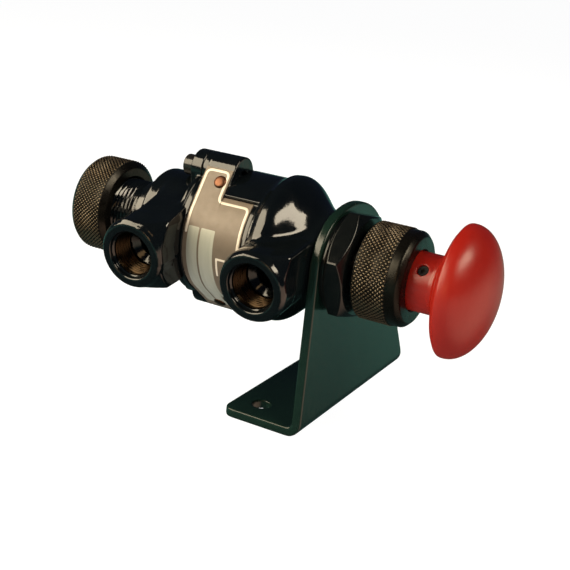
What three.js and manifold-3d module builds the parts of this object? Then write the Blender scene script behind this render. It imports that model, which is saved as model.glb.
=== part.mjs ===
// Palm button spool valve in a bent plate bracket.
// Millimetres, +Z up. The origin is on the underside of the bracket's foot, at the middle of the foot's
// width along X and straight under the valve's axis. The valve's axis runs along X, button at +X.

import * as THREE from 'three';
import Module from 'manifold-3d';
import { mergeVertices } from 'three/addons/utils/BufferGeometryUtils.js';

const wasm = await Module();
wasm.setup();

// Stations along the axis are measured from the midpoint between the two front ports.

// Frame
const AXIS_HEIGHT = 68.5;
const BODY_TILT = 0.15;

// Working fits
const SLIDE_FIT = 0.15;
const SEAT_FIT = 0.3;

// Ports
const PORT_X = 26.8;
const PORT_REACH = 39.5;
const PORT_FACE_R = 12.9;
const PORT_TURNED_R = 14;
const PORT_TURNED_DEPTH = 2;
const PORT_BORE_R = 8.25;
const PORT_MOUTH_R = 9.6;
const PORT_MOUTH_DEPTH = 1.4;
const PORT_DEPTH = 13;
const PORT_DRILL_R = 6;
const BOSS_HALF = 13.2;
const BOSS_ROUND = 11;
const BOSS_SMALL_ROUND = 1.2;
const REAR_PORT_X = 0;
const REAR_PORT_REACH = 30.5;
const REAR_BOSS_R = 14.2;
const REAR_PORT_DEPTH = 9;

// Joint between the two castings, and the body's outer radii
const JOINT_X = -14.9;
const SEAT_R = 25;
const RIM_R = SEAT_R + 1;
const RIM_END_X = -12.2;
const PAD_START_X = 0.1;
const PAD_END_X = 15.6;
const PAD_R = SEAT_R + 1.9;
const PAD_FROM_ANGLE = 57;
const BELL_PEAK_X = 21.6;
const BELL_R = SEAT_R + 4.1;
const BELL_END_X = 38;
const SHOULDER_R = 18.6;
const FLANGE_START_X = -17.2;
const HEAD_R = SEAT_R - 4;
const HEAD_START_X = -37;
const LEFT_SHOULDER_X = -44.3;
const LEFT_SHOULDER_R = 14.4;
const LEFT_CONE_END_X = -38.6;
const LEFT_CONE_END_R = 15.6;
const RIDGE_START_X = -31;
const RIDGE_TOP_ANGLE = 78;

// Lugs
const LUG_START_X = -20.2;
const LUG_CENTRE_R = SEAT_R + 0.8;
const LUG_R = 7.4;
const LUG_HOLE_R = 2;
const LUG_SCREW_HEAD_R = 4.2;
const LUG_SCREW_HEAD = 5.8;
const LUG_SCREW_SHANK_R = 1.9;
const LUG_SCREW_LENGTH = 12;
const LUG_SCREW_KEY_R = 1.75;
const LUG_SCREW_KEY_DEPTH = 2;

// Left neck and end cap
const LEFT_NECK_R = 13;
const UNDERCUT_R = 12.5;
const UNDERCUT_START_X = -46;
const LEFT_NECK_END_X = -64;
const CAP_BACK_X = -72.3;
const CAP_R = 20.1;
const CAP_BACK_R = 18.5;
const CAP_CHAMFER = 1.6;
const CAP_KNURL_END_X = -57.5;
const CAP_FRONT_X = -55.6;
const CAP_FRONT_R = 17.4;
const CAP_FLOOR_X = -68.6;
const CAP_SEAL_THICK = 2.4;
const CAP_SEAL_INNER_R = 9.2;
const CAP_SEAL_OUTER_R = 12.3;
const KNURL_DEPTH = 0.45;
const KNURL_TEETH = 48;

// Bracket
const BRACKET_X = 40.6;
const SHEET = 3.8;
const FOOT_FRONT_X = 9.2;
const BRACKET_FRONT_R = 20.7;
const BRACKET_BACK_Y = 81.5;
const TOP_ARC_Y = 6.7;
const TOP_ARC_DROP = 18;
const BACK_EDGE_HEIGHT = 6.1;
const BEND_R = 2.4;
const FOOT_CORNER_R = 5;
const PLATE_CORNER_R = 3;
const FOOT_HOLE_R = 3.8;
const FOOT_HOLE_INSET = 11.2;
const FOOT_HOLE_END = 12.5;

// Right neck, nut and collar
const RIGHT_NECK_R = 13;
const RIGHT_NECK_END_X = 62.5;
const RIGHT_NECK_BORE_R = 8.5;
const WASHER_R = 19.1;
const WASHER_THICK = 1.5;
const NUT_END_X = 54.1;
const NUT_FLAT_HALF = 19.6;
const NUT_CORNER_R = 22.1;
const NUT_CHAMFER = 2;
const NUT_TURN = 13;
const COLLAR_START_X = 56.6;
const COLLAR_KNURL_X = 57.2;
const COLLAR_KNURL_END_X = 70.5;
const COLLAR_R = 19;
const COLLAR_BAND_R = 18.5;
const COLLAR_END_X = 76;
const COLLAR_FACE_R = 16.6;
const COLLAR_BORE_R = 11.6;

// Button
const BUTTON_NECK_R = 11.35;
const BUTTON_NECK_START_X = 72;
const BUTTON_FLARE_X = 86.6;
const BUTTON_RIM_R = 25.3;
const BUTTON_RIM_X = 91.8;
const BUTTON_APEX_X = 106.6;
const SET_SCREW_X = 80.2;
const SET_SCREW_ANGLE = 48.1;
const SET_SCREW_R = 2;
const SET_SCREW_SINK = 0.9;
// Shares of the depth from the flare to the rim, and of the rim's radius
const UNDERSIDE_SHARES = [[0.385, 0.79], [0.654, 0.917]];
// Shares of the dome's height from the rim, and of the rim's radius
const DOME_SHARES = [
  [0.216, 0.98], [0.338, 0.953], [0.5, 0.881], [0.635, 0.791], [0.77, 0.656], [0.872, 0.506],
  [0.946, 0.332], [0.986, 0.158],
];

// Moving parts inside
const BORE_R = 9;
const BORE_START_X = -38;
const BORE_END_X = 43.2;
const SPOOL_PASSAGE_R = 6.4;
const JOINT_SEAL_INNER_R = 10.5;
const JOINT_SEAL_OUTER_R = 12.5;
const JOINT_SEAL_DEPTH = 1.8;
const SEAL_THICK = 2.5;
const SEAL_STARTS = [-38, -12, 9.5, 39.5];
const CAGE_BORE_R = 6.6;
const CAGE_R = 8.8;
const CAGE_HOLE_R = 2.6;
const CAGE_HOLES = 6;
const CAGE_HOLE_STATIONS = [-26.8, 0, 26.8];
const INNER_FIT = 0.05;
const SPOOL_R = 6;
const SPOOL_WAIST_R = 4;
const SPOOL_START_X = -42;
const SPOOL_END_X = 51.4;
const SPOOL_WAISTS = [[-5, 2], [8.5, 13.5]];
const STEM_R = 4;
const STEM_TAIL_R = 2.6;
const STEM_TAIL = 6;
const STEM_END_X = 89;
const STOP_RING_R = 7.4;
const STOP_RING_THICK = 1.8;
const BUSH_FLANGE_R = 12.6;
const BUSH_FLANGE = 1.2;
const WIPER_THICK = 1.6;
const WIPER_R = 6;

// Return spring
const SPRING_CHAMBER_R = 8.6;
const SPRING_CHAMBER_END_X = -41;
const SPRING_WIRE_R = 0.75;
const SPRING_MEAN_R = 6.6;
const SPRING_TURNS = 6;
const SPRING_DISC_R = 8.2;
const SPRING_DISC_THICK = 1.4;
const SPRING_SEAT_R = 8.1;
const SPRING_SEAT_THICK = 2.6;
const SPRING_SEAT_BOSS_R = 5.2;
const SPRING_SEAT_BOSS = 2;

// Nameplate
const PLATE_THICK = 0.5;
const PLATE_TAB_END_X = 13.3;
const PLATE_TAB_ANGLE = 56.3;
const PLATE_STRIP_ANGLE = 77.2;
const PLATE_STRIP_END_X = -0.4;
const RIVET_R = 2.6;
const RIVET_X = -4;
const RIVET_ALONG = 11.5;
const RIVET_HEAD = 1;
const RIVET_SHANK_R = 1.1;
const RIVET_SHANK = 3;

// Flats that stand for a full circle
const OUTER_FLATS = 52;
const RING_FLATS = 40;
const INNER_FLATS = 24;

// Worked out from the sizes above
const FOOT_MID_X = (FOOT_FRONT_X + BRACKET_X + SHEET) / 2;
const COLLAR_STEP_X = RIGHT_NECK_END_X + BUSH_FLANGE;
const SPRING_START_X = CAP_FLOOR_X + SPRING_DISC_THICK;
const SPRING_END_X = SPOOL_START_X - SPRING_SEAT_THICK;
// The lug's flank is the flat that touches both the seat's round and the lug's round; this is the angle
// that it faces, from the front.
const FLANK_FACING = Math.asin((SEAT_R - LUG_R) / LUG_CENTRE_R);
// Well past the widest part of the body
const WEDGE_REACH = 3 * BELL_R;

const TAU = 2 * Math.PI;
const BOTH_ENDS = [1, -1];

function rad(degrees) {
  return degrees * Math.PI / 180;
}

// Solids, as closed meshes that can be added, cut and crossed
function solidOf(geometry) {
  const bare = new THREE.BufferGeometry();
  bare.setAttribute('position', geometry.getAttribute('position'));
  if (geometry.index) bare.setIndex(geometry.index);
  const merged = mergeVertices(bare, 1e-5);
  return new wasm.Manifold(new wasm.Mesh({
    numProp: 3,
    vertProperties: new Float32Array(merged.getAttribute('position').array),
    triVerts: new Uint32Array(merged.index.array),
  }));
}

function geometryOf(solid) {
  const mesh = solid.getMesh();
  const points = [];
  for (let i = 0; i < mesh.vertProperties.length; i += mesh.numProp) {
    points.push(mesh.vertProperties[i], mesh.vertProperties[i + 1], mesh.vertProperties[i + 2]);
  }
  const geometry = new THREE.BufferGeometry();
  geometry.setAttribute('position', new THREE.Float32BufferAttribute(points, 3));
  geometry.setIndex(Array.from(mesh.triVerts));
  geometry.computeVertexNormals();
  return geometry;
}

function allOf(solids) {
  return solids.reduce((sum, next) => sum.add(next));
}

function cutFrom(solid, cutters) {
  return cutters.reduce((rest, cutter) => rest.subtract(cutter), solid);
}

// Profile of [station, radius] pairs turned round the X axis
function turned(profile, segments = RING_FLATS) {
  const points = profile.map(([x, r]) => new THREE.Vector2(r, x));
  const area = points.reduce((sum, p, i) => {
    const q = points[(i + 1) % points.length];
    return sum + p.x * q.y - q.x * p.y;
  }, 0);
  if (profile[0][1] > 0) points.push(points[0].clone());
  if (area < 0) points.reverse();
  const lathe = new THREE.LatheGeometry(points, segments);
  lathe.rotateZ(-Math.PI / 2);
  return solidOf(lathe);
}

function rod(x0, x1, radius, segments = RING_FLATS) {
  return turned([[x0, 0], [x0, radius], [x1, radius], [x1, 0]], segments);
}

function tube(x0, x1, inner, outer, segments = RING_FLATS) {
  return turned([[x0, inner], [x0, outer], [x1, outer], [x1, inner]], segments);
}

// Cylinder or cone between two points
function pin(from, to, radius, segments = 24, endRadius = radius) {
  const a = new THREE.Vector3(...from);
  const b = new THREE.Vector3(...to);
  const cylinder = new THREE.CylinderGeometry(endRadius, radius, a.distanceTo(b), segments);
  cylinder.applyQuaternion(new THREE.Quaternion().setFromUnitVectors(
    new THREE.Vector3(0, 1, 0), b.clone().sub(a).normalize()));
  const middle = a.add(b).multiplyScalar(0.5);
  cylinder.translate(middle.x, middle.y, middle.z);
  return solidOf(cylinder);
}

// Point at a station and radius; the angle runs from the front (-Y) up to the top (+Z)
function around(x, radius, degrees) {
  return [x, -radius * Math.cos(rad(degrees)), radius * Math.sin(rad(degrees))];
}

// Outline drawn in Y and Z, raised along X. Side -1 gives its mirror image below the axis.
function raisedAlongX(shape, x0, x1, side = 1, curveSegments = 12) {
  const points = shape.extractPoints(curveSegments).shape;
  const outline = polygon(points.map((point) => [point.x, side * point.y]));
  const raised = new THREE.ExtrudeGeometry(outline, { depth: x1 - x0, bevelEnabled: false });
  raised.applyMatrix4(new THREE.Matrix4().makeBasis(
    new THREE.Vector3(0, 1, 0), new THREE.Vector3(0, 0, 1), new THREE.Vector3(1, 0, 0)));
  raised.translate(x0, 0, 0);
  return solidOf(raised);
}

function polygon(points) {
  return new THREE.Shape(points.map(([a, b]) => new THREE.Vector2(a, b)));
}

// Rectangle with its own radius at each corner, in order: right top, left top, left bottom, right bottom
function cornered(x0, x1, z0, z1, [rt, lt, lb, rb]) {
  const shape = new THREE.Shape();
  shape.moveTo(x1, z1 - rt);
  shape.absarc(x1 - rt, z1 - rt, rt, 0, Math.PI / 2);
  shape.absarc(x0 + lt, z1 - lt, lt, Math.PI / 2, Math.PI);
  shape.absarc(x0 + lb, z0 + lb, lb, Math.PI, 1.5 * Math.PI);
  shape.absarc(x1 - rb, z0 + rb, rb, 1.5 * Math.PI, TAU);
  return shape;
}

// Ring of straight teeth, as an outline in Y and Z
function toothed(outer, teeth) {
  const points = [];
  for (let i = 0; i < teeth * 2; i++) {
    const angle = TAU * i / (teeth * 2);
    const radius = i % 2 ? outer - KNURL_DEPTH : outer;
    points.push([radius * Math.cos(angle), radius * Math.sin(angle)]);
  }
  return polygon(points);
}

function coat(color, metalness, roughness) {
  return () => new THREE.MeshStandardMaterial({ color, metalness, roughness });
}

const blackPaint = coat(0x17160f, 0.1, 0.22);
const satinBlack = coat(0x1b1d1c, 0.2, 0.45);
const redPlastic = coat(0xc8210d, 0, 0.25);
const bronze = coat(0x9a7440, 0.9, 0.35);
const steel = coat(0xb4b6b8, 0.9, 0.3);
const plateMetal = coat(0xa8a69e, 0.6, 0.4);
const copper = coat(0xb06a3c, 0.9, 0.3);
const rubber = coat(0x202020, 0, 0.8);

function piece(name, solid, material) {
  const mesh = new THREE.Mesh(geometryOf(solid), material());
  mesh.name = name;
  return mesh;
}

// Front port: square block on the body with a turned round front, which takes the block's corners off
function portBoss(centre, x0, x1, radii) {
  const shoulder = PORT_REACH - PORT_TURNED_DEPTH;
  const raised = new THREE.ExtrudeGeometry(cornered(x0, x1, -BOSS_HALF, BOSS_HALF, radii), {
    depth: shoulder,
    bevelEnabled: false,
    curveSegments: 8,
  });
  raised.rotateX(Math.PI / 2);
  return allOf([
    solidOf(raised).intersect(portTurning(centre)),
    pin([centre, -(shoulder - 2), 0], [centre, -shoulder, 0], PORT_TURNED_R, 48),
    pin([centre, -shoulder, 0], [centre, -PORT_REACH, 0], PORT_TURNED_R, 48, PORT_FACE_R),
  ]);
}

// Cone that takes the corners off whatever stands behind a front port's face
function portTurning(centre) {
  const shoulder = PORT_REACH - PORT_TURNED_DEPTH;
  return pin([centre, 0, 0], [centre, -shoulder, 0], PORT_TURNED_R + shoulder, 48, PORT_TURNED_R);
}

// Ridge that rises from the top of the left port's boss to the top of the left head
function portRidge() {
  const angle = THREE.MathUtils.degToRad(RIDGE_TOP_ANGLE);
  const top = HEAD_R * 0.98;
  const shoulder = PORT_REACH - PORT_TURNED_DEPTH;
  const outline = polygon([
    [-shoulder, 0], [-shoulder, BOSS_HALF], [-top * Math.cos(angle), top * Math.sin(angle)],
    [0, top * Math.sin(angle)], [0, 0],
  ]);
  const ridge = raisedAlongX(outline, RIDGE_START_X, -PORT_X + BOSS_HALF);
  return ridge.intersect(portTurning(-PORT_X));
}

// Threaded hole with a relieved mouth and a drilled way to the bore. Side 1 is the front, -1 the back.
function portHole(centre, reach, depth, side) {
  const at = (out) => [centre, -side * out, 0];
  return allOf([
    pin(at(reach + 1), at(reach - depth), PORT_BORE_R, 32),
    pin(at(reach + 1), at(reach - PORT_MOUTH_DEPTH), PORT_MOUTH_R, 32),
    pin(at(reach - depth + 1), at(0), PORT_DRILL_R, 24),
  ]);
}

// Solid that holds the lug, grown outward by the given amount: a sloping flank in front, a straight one
// behind
function lug(x0, x1, side, growth = 0) {
  const normal = [-Math.cos(FLANK_FACING), Math.sin(FLANK_FACING)];
  const seat = SEAT_R + growth;
  const outline = new THREE.Shape();
  outline.moveTo(LUG_R + growth, SEAT_R / 2);
  outline.lineTo(LUG_R + growth, LUG_CENTRE_R);
  outline.absarc(0, LUG_CENTRE_R, LUG_R + growth, 0, Math.PI - FLANK_FACING);
  outline.lineTo(normal[0] * seat, normal[1] * seat);
  outline.lineTo(normal[0] * SEAT_R / 2, normal[1] * SEAT_R / 2);
  return raisedAlongX(outline, x0, x1, side, 18);
}

function lugs(x0, x1, growth = 0) {
  return BOTH_ENDS.map((side) => lug(x0, x1, side, growth));
}

// The lugs where they pass the joint, round with straight sides
function lugEnds(x0, x1) {
  const outline = new THREE.Shape();
  outline.moveTo(-LUG_R, SEAT_R / 2);
  outline.lineTo(LUG_R, SEAT_R / 2);
  outline.lineTo(LUG_R, LUG_CENTRE_R);
  outline.absarc(0, LUG_CENTRE_R, LUG_R, 0, Math.PI);
  return BOTH_ENDS.map((side) => raisedAlongX(outline, x0, x1, side, 18));
}

function lugHoles(x0, x1, radius) {
  return BOTH_ENDS.map((side) => pin([x0, 0, side * LUG_CENTRE_R], [x1, 0, side * LUG_CENTRE_R],
    radius, 20));
}

// Wedge about the axis that opens to the front, this many degrees each way
function frontWedge(x0, x1, degrees) {
  const [, y, z] = around(0, WEDGE_REACH, degrees);
  const front = -WEDGE_REACH;
  return raisedAlongX(polygon([[0, 0], [y, z], [front, z], [front, -z], [y, -z]]), x0, x1);
}

// Raised pads at the top and the bottom, above and below the nameplate's tab
function pads() {
  const ring = tube(PAD_START_X, PAD_END_X + 1, SEAT_R - 2, PAD_R, OUTER_FLATS);
  const [, y, z] = around(0, WEDGE_REACH, PAD_FROM_ANGLE);
  const wedge = polygon([[0, 0], [-y, z], [y, z]]);
  return BOTH_ENDS.map((side) => {
    return ring.intersect(raisedAlongX(wedge, PAD_START_X - 1, PAD_END_X + 2, side));
  });
}

// Point on or over the lug's front flank, at the rivet
function rivetPoint(height, side) {
  const y = -Math.cos(FLANK_FACING) * (SEAT_R + height) + Math.sin(FLANK_FACING) * RIVET_ALONG;
  const z = Math.sin(FLANK_FACING) * (SEAT_R + height) + Math.cos(FLANK_FACING) * RIVET_ALONG;
  return [RIVET_X, y, side * z];
}

function rivetHoles() {
  return BOTH_ENDS.map((side) => pin(rivetPoint(1, side), rivetPoint(-RIVET_SHANK - 0.5, side),
    RIVET_SHANK_R + SLIDE_FIT, 16));
}

// Profile of the bell from its peak down to the shoulder, an even S
function bell() {
  const points = [[PAD_END_X + 2.9, BELL_R - 0.8]];
  const steps = 9;
  for (let i = 0; i <= steps; i++) {
    const fall = (1 - Math.cos(Math.PI * i / steps)) / 2;
    const x = BELL_PEAK_X + (BELL_END_X - BELL_PEAK_X) * i / steps;
    points.push([x, BELL_R - (BELL_R - SHOULDER_R) * fall]);
  }
  return points;
}

function mainBody() {
  const shell = turned([
    [JOINT_X, 0], [JOINT_X, RIM_R - 0.5], [JOINT_X + 0.5, RIM_R], [RIM_END_X, RIM_R], [RIM_END_X, SEAT_R],
    [PAD_END_X, SEAT_R], [PAD_END_X, PAD_R], [PAD_END_X + 1.4, PAD_R + 0.5], ...bell(),
    [BRACKET_X, SHOULDER_R], [BRACKET_X, RIGHT_NECK_R],
    [RIGHT_NECK_END_X - 0.8, RIGHT_NECK_R], [RIGHT_NECK_END_X, RIGHT_NECK_R - 0.8], [RIGHT_NECK_END_X, 0],
  ], OUTER_FLATS);
  const [inner, outer] = [PORT_X - BOSS_HALF, PORT_X + BOSS_HALF];
  const solid = allOf([
    shell,
    ...lugs(RIM_END_X, PAD_START_X),
    ...lugEnds(JOINT_X, RIM_END_X),
    ...pads(),
    portBoss(PORT_X, inner, outer, [BOSS_SMALL_ROUND, BOSS_ROUND, BOSS_ROUND, BOSS_ROUND]),
    pin([REAR_PORT_X, 0, 0], [REAR_PORT_X, REAR_PORT_REACH, 0], REAR_BOSS_R, 40),
  ]);
  return cutFrom(solid, [
    rod(JOINT_X - 1, BORE_END_X, BORE_R),
    rod(BORE_END_X - 1, RIGHT_NECK_END_X + 1, RIGHT_NECK_BORE_R),
    portHole(PORT_X, PORT_REACH, PORT_DEPTH, 1),
    portHole(REAR_PORT_X, REAR_PORT_REACH, REAR_PORT_DEPTH, -1),
    ...lugHoles(JOINT_X - 1, PAD_START_X + 1, LUG_HOLE_R),
    ...rivetHoles(),
  ]);
}

function leftHead() {
  const shell = turned([
    [LEFT_NECK_END_X, 0], [LEFT_NECK_END_X, LEFT_NECK_R - 0.7], [LEFT_NECK_END_X + 0.7, LEFT_NECK_R],
    [UNDERCUT_START_X, LEFT_NECK_R], [UNDERCUT_START_X + 0.5, UNDERCUT_R], [LEFT_SHOULDER_X, UNDERCUT_R],
    [LEFT_SHOULDER_X, LEFT_SHOULDER_R], [LEFT_CONE_END_X, LEFT_CONE_END_R], [HEAD_START_X, HEAD_R],
    [FLANGE_START_X - 0.6, HEAD_R],
    [FLANGE_START_X, HEAD_R + 0.6], [FLANGE_START_X, RIM_R - 0.7], [FLANGE_START_X + 0.7, RIM_R],
    [JOINT_X - 0.5, RIM_R], [JOINT_X, RIM_R - 0.5], [JOINT_X, 0],
  ], OUTER_FLATS);
  const [outer, inner] = [-PORT_X - BOSS_HALF, -PORT_X + BOSS_HALF];
  const solid = allOf([
    shell,
    ...lugEnds(LUG_START_X, JOINT_X),
    portBoss(-PORT_X, outer, inner, [BOSS_SMALL_ROUND, BOSS_ROUND, BOSS_ROUND, BOSS_SMALL_ROUND]),
    portRidge(),
  ]);
  return cutFrom(solid, [
    rod(JOINT_X, JOINT_X + 4, RIM_R + SEAT_FIT, OUTER_FLATS),
    rod(BORE_START_X, JOINT_X + 1, BORE_R),
    rod(SPRING_CHAMBER_END_X - 1, BORE_START_X + 1, SPOOL_PASSAGE_R),
    rod(LEFT_NECK_END_X - 1, SPRING_CHAMBER_END_X, SPRING_CHAMBER_R),
    tube(JOINT_X - JOINT_SEAL_DEPTH, JOINT_X + 1, JOINT_SEAL_INNER_R, JOINT_SEAL_OUTER_R),
    portHole(-PORT_X, PORT_REACH, PORT_DEPTH, 1),
    ...lugHoles(LUG_START_X - 1, JOINT_X + 1, LUG_SCREW_SHANK_R + SEAT_FIT),
  ]);
}

function sealStack() {
  const parts = [];
  SEAL_STARTS.forEach((start, i) => {
    parts.push(piece(`spool_seal_${i + 1}`,
      tube(start, start + SEAL_THICK, SPOOL_R + INNER_FIT, BORE_R - INNER_FIT, INNER_FLATS), rubber));
  });
  CAGE_HOLE_STATIONS.forEach((station, i) => {
    const cage = tube(SEAL_STARTS[i] + SEAL_THICK, SEAL_STARTS[i + 1], CAGE_BORE_R, CAGE_R, INNER_FLATS);
    const holes = [];
    for (let k = 0; k < CAGE_HOLES; k++) {
      const angle = 360 * k / CAGE_HOLES;
      holes.push(pin(around(station, 0, angle), around(station, BORE_R + 2, angle), CAGE_HOLE_R, 12));
    }
    parts.push(piece(`seal_cage_${i + 1}`, cutFrom(cage, holes), bronze));
  });
  parts.push(piece('seal_retainer',
    tube(SEAL_STARTS[3] + SEAL_THICK, BORE_END_X, SPOOL_PASSAGE_R, CAGE_R, INNER_FLATS), steel));
  parts.push(piece('joint_seal', tube(JOINT_X - JOINT_SEAL_DEPTH, JOINT_X, JOINT_SEAL_INNER_R + SLIDE_FIT,
    JOINT_SEAL_OUTER_R - SLIDE_FIT), rubber));
  return parts;
}

function endCap() {
  const shell = turned([
    [CAP_BACK_X, 0], [CAP_BACK_X, CAP_BACK_R], [CAP_BACK_X + CAP_CHAMFER, CAP_R - KNURL_DEPTH],
    [CAP_KNURL_END_X, CAP_R - KNURL_DEPTH], [CAP_FRONT_X, CAP_FRONT_R], [CAP_FRONT_X, 0],
  ]);
  const knurl = raisedAlongX(toothed(CAP_R, KNURL_TEETH), CAP_BACK_X + CAP_CHAMFER, CAP_KNURL_END_X);
  return cutFrom(shell.add(knurl), [
    rod(CAP_FLOOR_X + 2.2, CAP_FRONT_X + 1, LEFT_NECK_R + SEAT_FIT),
    rod(CAP_FLOOR_X, CAP_FLOOR_X + 3, SPRING_DISC_R + SLIDE_FIT),
  ]);
}

function lugScrew(side) {
  const at = (x) => [x, 0, side * LUG_CENTRE_R];
  const head = LUG_START_X - LUG_SCREW_HEAD;
  return cutFrom(allOf([
    pin(at(head), at(LUG_START_X), LUG_SCREW_HEAD_R, 28),
    pin(at(head + 1), at(LUG_START_X + LUG_SCREW_LENGTH), LUG_SCREW_SHANK_R, 20),
  ]), [pin(at(head - 1), at(head + LUG_SCREW_KEY_DEPTH), LUG_SCREW_KEY_R, 6)]);
}

// Bent sheet on the front of the body: a strip up and down onto the lugs' flanks, and a wider tab
function nameplate() {
  const under = allOf([
    rod(RIM_END_X, PLATE_TAB_END_X + 1, SEAT_R, OUTER_FLATS),
    ...lugs(RIM_END_X, PAD_START_X),
  ]);
  const over = allOf([
    rod(RIM_END_X, PLATE_TAB_END_X, SEAT_R + PLATE_THICK, OUTER_FLATS),
    ...lugs(RIM_END_X, PLATE_STRIP_END_X, PLATE_THICK),
  ]);
  const window = allOf([
    frontWedge(RIM_END_X, PLATE_STRIP_END_X, PLATE_STRIP_ANGLE),
    frontWedge(PAD_START_X, PLATE_TAB_END_X, PLATE_TAB_ANGLE),
    frontWedge(RIM_END_X, PLATE_TAB_END_X, 42),
  ]);
  return cutFrom(over.intersect(window), [under, ...rivetHoles()]);
}

function plateRivet(side) {
  return allOf([
    pin(rivetPoint(PLATE_THICK, side), rivetPoint(PLATE_THICK + RIVET_HEAD * 0.5, side), RIVET_R, 20),
    pin(rivetPoint(PLATE_THICK + RIVET_HEAD * 0.5, side), rivetPoint(PLATE_THICK + RIVET_HEAD, side),
      RIVET_R, 20, RIVET_R * 0.6),
    pin(rivetPoint(PLATE_THICK, side), rivetPoint(-RIVET_SHANK, side), RIVET_SHANK_R, 16),
  ]);
}

function glandBush() {
  const shell = turned([
    [SPOOL_END_X + STOP_RING_THICK, STEM_R + SLIDE_FIT],
    [SPOOL_END_X + STOP_RING_THICK, RIGHT_NECK_BORE_R - INNER_FIT],
    [RIGHT_NECK_END_X, RIGHT_NECK_BORE_R - INNER_FIT], [RIGHT_NECK_END_X, BUSH_FLANGE_R],
    [COLLAR_STEP_X, BUSH_FLANGE_R], [COLLAR_STEP_X, WIPER_R + INNER_FIT],
    [COLLAR_STEP_X - WIPER_THICK, WIPER_R + INNER_FIT], [COLLAR_STEP_X - WIPER_THICK, STEM_R + SLIDE_FIT],
  ]);
  return shell;
}

function spool() {
  const profile = [[SPOOL_START_X, 0], [SPOOL_START_X, SPOOL_R]];
  for (const [from, to] of SPOOL_WAISTS) {
    profile.push([from, SPOOL_R], [from + 0.6, SPOOL_WAIST_R], [to - 0.6, SPOOL_WAIST_R], [to, SPOOL_R]);
  }
  profile.push([SPOOL_END_X, SPOOL_R], [SPOOL_END_X, STEM_TAIL_R + SLIDE_FIT],
    [SPOOL_END_X - STEM_TAIL - 0.5, STEM_TAIL_R + SLIDE_FIT], [SPOOL_END_X - STEM_TAIL - 0.5, 0]);
  return turned(profile, INNER_FLATS);
}

function stem() {
  return turned([
    [SPOOL_END_X - STEM_TAIL, 0], [SPOOL_END_X - STEM_TAIL, STEM_TAIL_R], [SPOOL_END_X, STEM_TAIL_R],
    [SPOOL_END_X, STEM_R], [STEM_END_X - 0.6, STEM_R], [STEM_END_X, STEM_R - 0.6], [STEM_END_X, 0],
  ], INNER_FLATS);
}

function springSeat() {
  return turned([
    [SPRING_END_X - SPRING_SEAT_BOSS, 0], [SPRING_END_X - SPRING_SEAT_BOSS, SPRING_SEAT_BOSS_R - 0.5],
    [SPRING_END_X - SPRING_SEAT_BOSS + 0.5, SPRING_SEAT_BOSS_R], [SPRING_END_X, SPRING_SEAT_BOSS_R],
    [SPRING_END_X, SPRING_SEAT_R], [SPOOL_START_X, SPRING_SEAT_R], [SPOOL_START_X, 0],
  ], INNER_FLATS);
}

// Round wire in one helix from the disc to the seat; each end runs straight for one wire diameter
function returnSpring() {
  const steps = 8;
  const inset = SPRING_WIRE_R + INNER_FIT;
  const points = [];
  for (let i = 0; i <= SPRING_TURNS * steps; i++) {
    const angle = TAU * i / steps;
    const x = SPRING_START_X + inset
      + (SPRING_END_X - SPRING_START_X - 2 * inset) * i / (SPRING_TURNS * steps);
    points.push(new THREE.Vector3(x, SPRING_MEAN_R * Math.cos(angle), SPRING_MEAN_R * Math.sin(angle)));
  }
  const first = points[0].clone().add(new THREE.Vector3(0, 0, -2 * SPRING_WIRE_R));
  const last = points[points.length - 1].clone().add(new THREE.Vector3(0, 0, 2 * SPRING_WIRE_R));
  return sweptAlong([first, ...points, last], SPRING_WIRE_R, 5);
}

// Round bar through the given points, one ring of corners at each point
function sweptAlong(points, radius, sides) {
  const rings = [];
  points.forEach((point, i) => {
    const along = points[Math.min(i + 1, points.length - 1)].clone()
      .sub(points[Math.max(i - 1, 0)]).normalize();
    const out = new THREE.Vector3(0, point.y, point.z);
    out.addScaledVector(along, -out.dot(along)).normalize();
    const side = along.clone().cross(out);
    for (let k = 0; k < sides; k++) {
      const angle = TAU * k / sides;
      rings.push(point.clone().addScaledVector(out, radius * Math.cos(angle))
        .addScaledVector(side, radius * Math.sin(angle)));
    }
  });
  const faces = [];
  for (let i = 0; i + 1 < points.length; i++) {
    for (let k = 0; k < sides; k++) {
      const a = i * sides + k;
      const b = i * sides + (k + 1) % sides;
      faces.push(a, b, b + sides, a, b + sides, a + sides);
    }
  }
  const end = (points.length - 1) * sides;
  for (let k = 1; k + 1 < sides; k++) {
    faces.push(0, k + 1, k, end, end + k, end + k + 1);
  }
  const geometry = new THREE.BufferGeometry().setFromPoints(rings);
  geometry.setIndex(faces);
  return solidOf(geometry);
}

function knurledCollar() {
  const shell = turned([
    [COLLAR_START_X, 0], [COLLAR_START_X, COLLAR_R - 1.2], [COLLAR_KNURL_X, COLLAR_R - KNURL_DEPTH],
    [COLLAR_KNURL_END_X, COLLAR_R - KNURL_DEPTH], [COLLAR_KNURL_END_X, COLLAR_BAND_R],
    [COLLAR_END_X - 1.9, COLLAR_BAND_R], [COLLAR_END_X, COLLAR_FACE_R], [COLLAR_END_X, 0],
  ]);
  const knurl = raisedAlongX(toothed(COLLAR_R, KNURL_TEETH), COLLAR_KNURL_X, COLLAR_KNURL_END_X);
  return cutFrom(shell.add(knurl), [
    rod(COLLAR_START_X - 1, COLLAR_STEP_X, RIGHT_NECK_R + SEAT_FIT),
    rod(COLLAR_STEP_X - 1, COLLAR_END_X + 1, COLLAR_BORE_R),
  ]);
}

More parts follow.
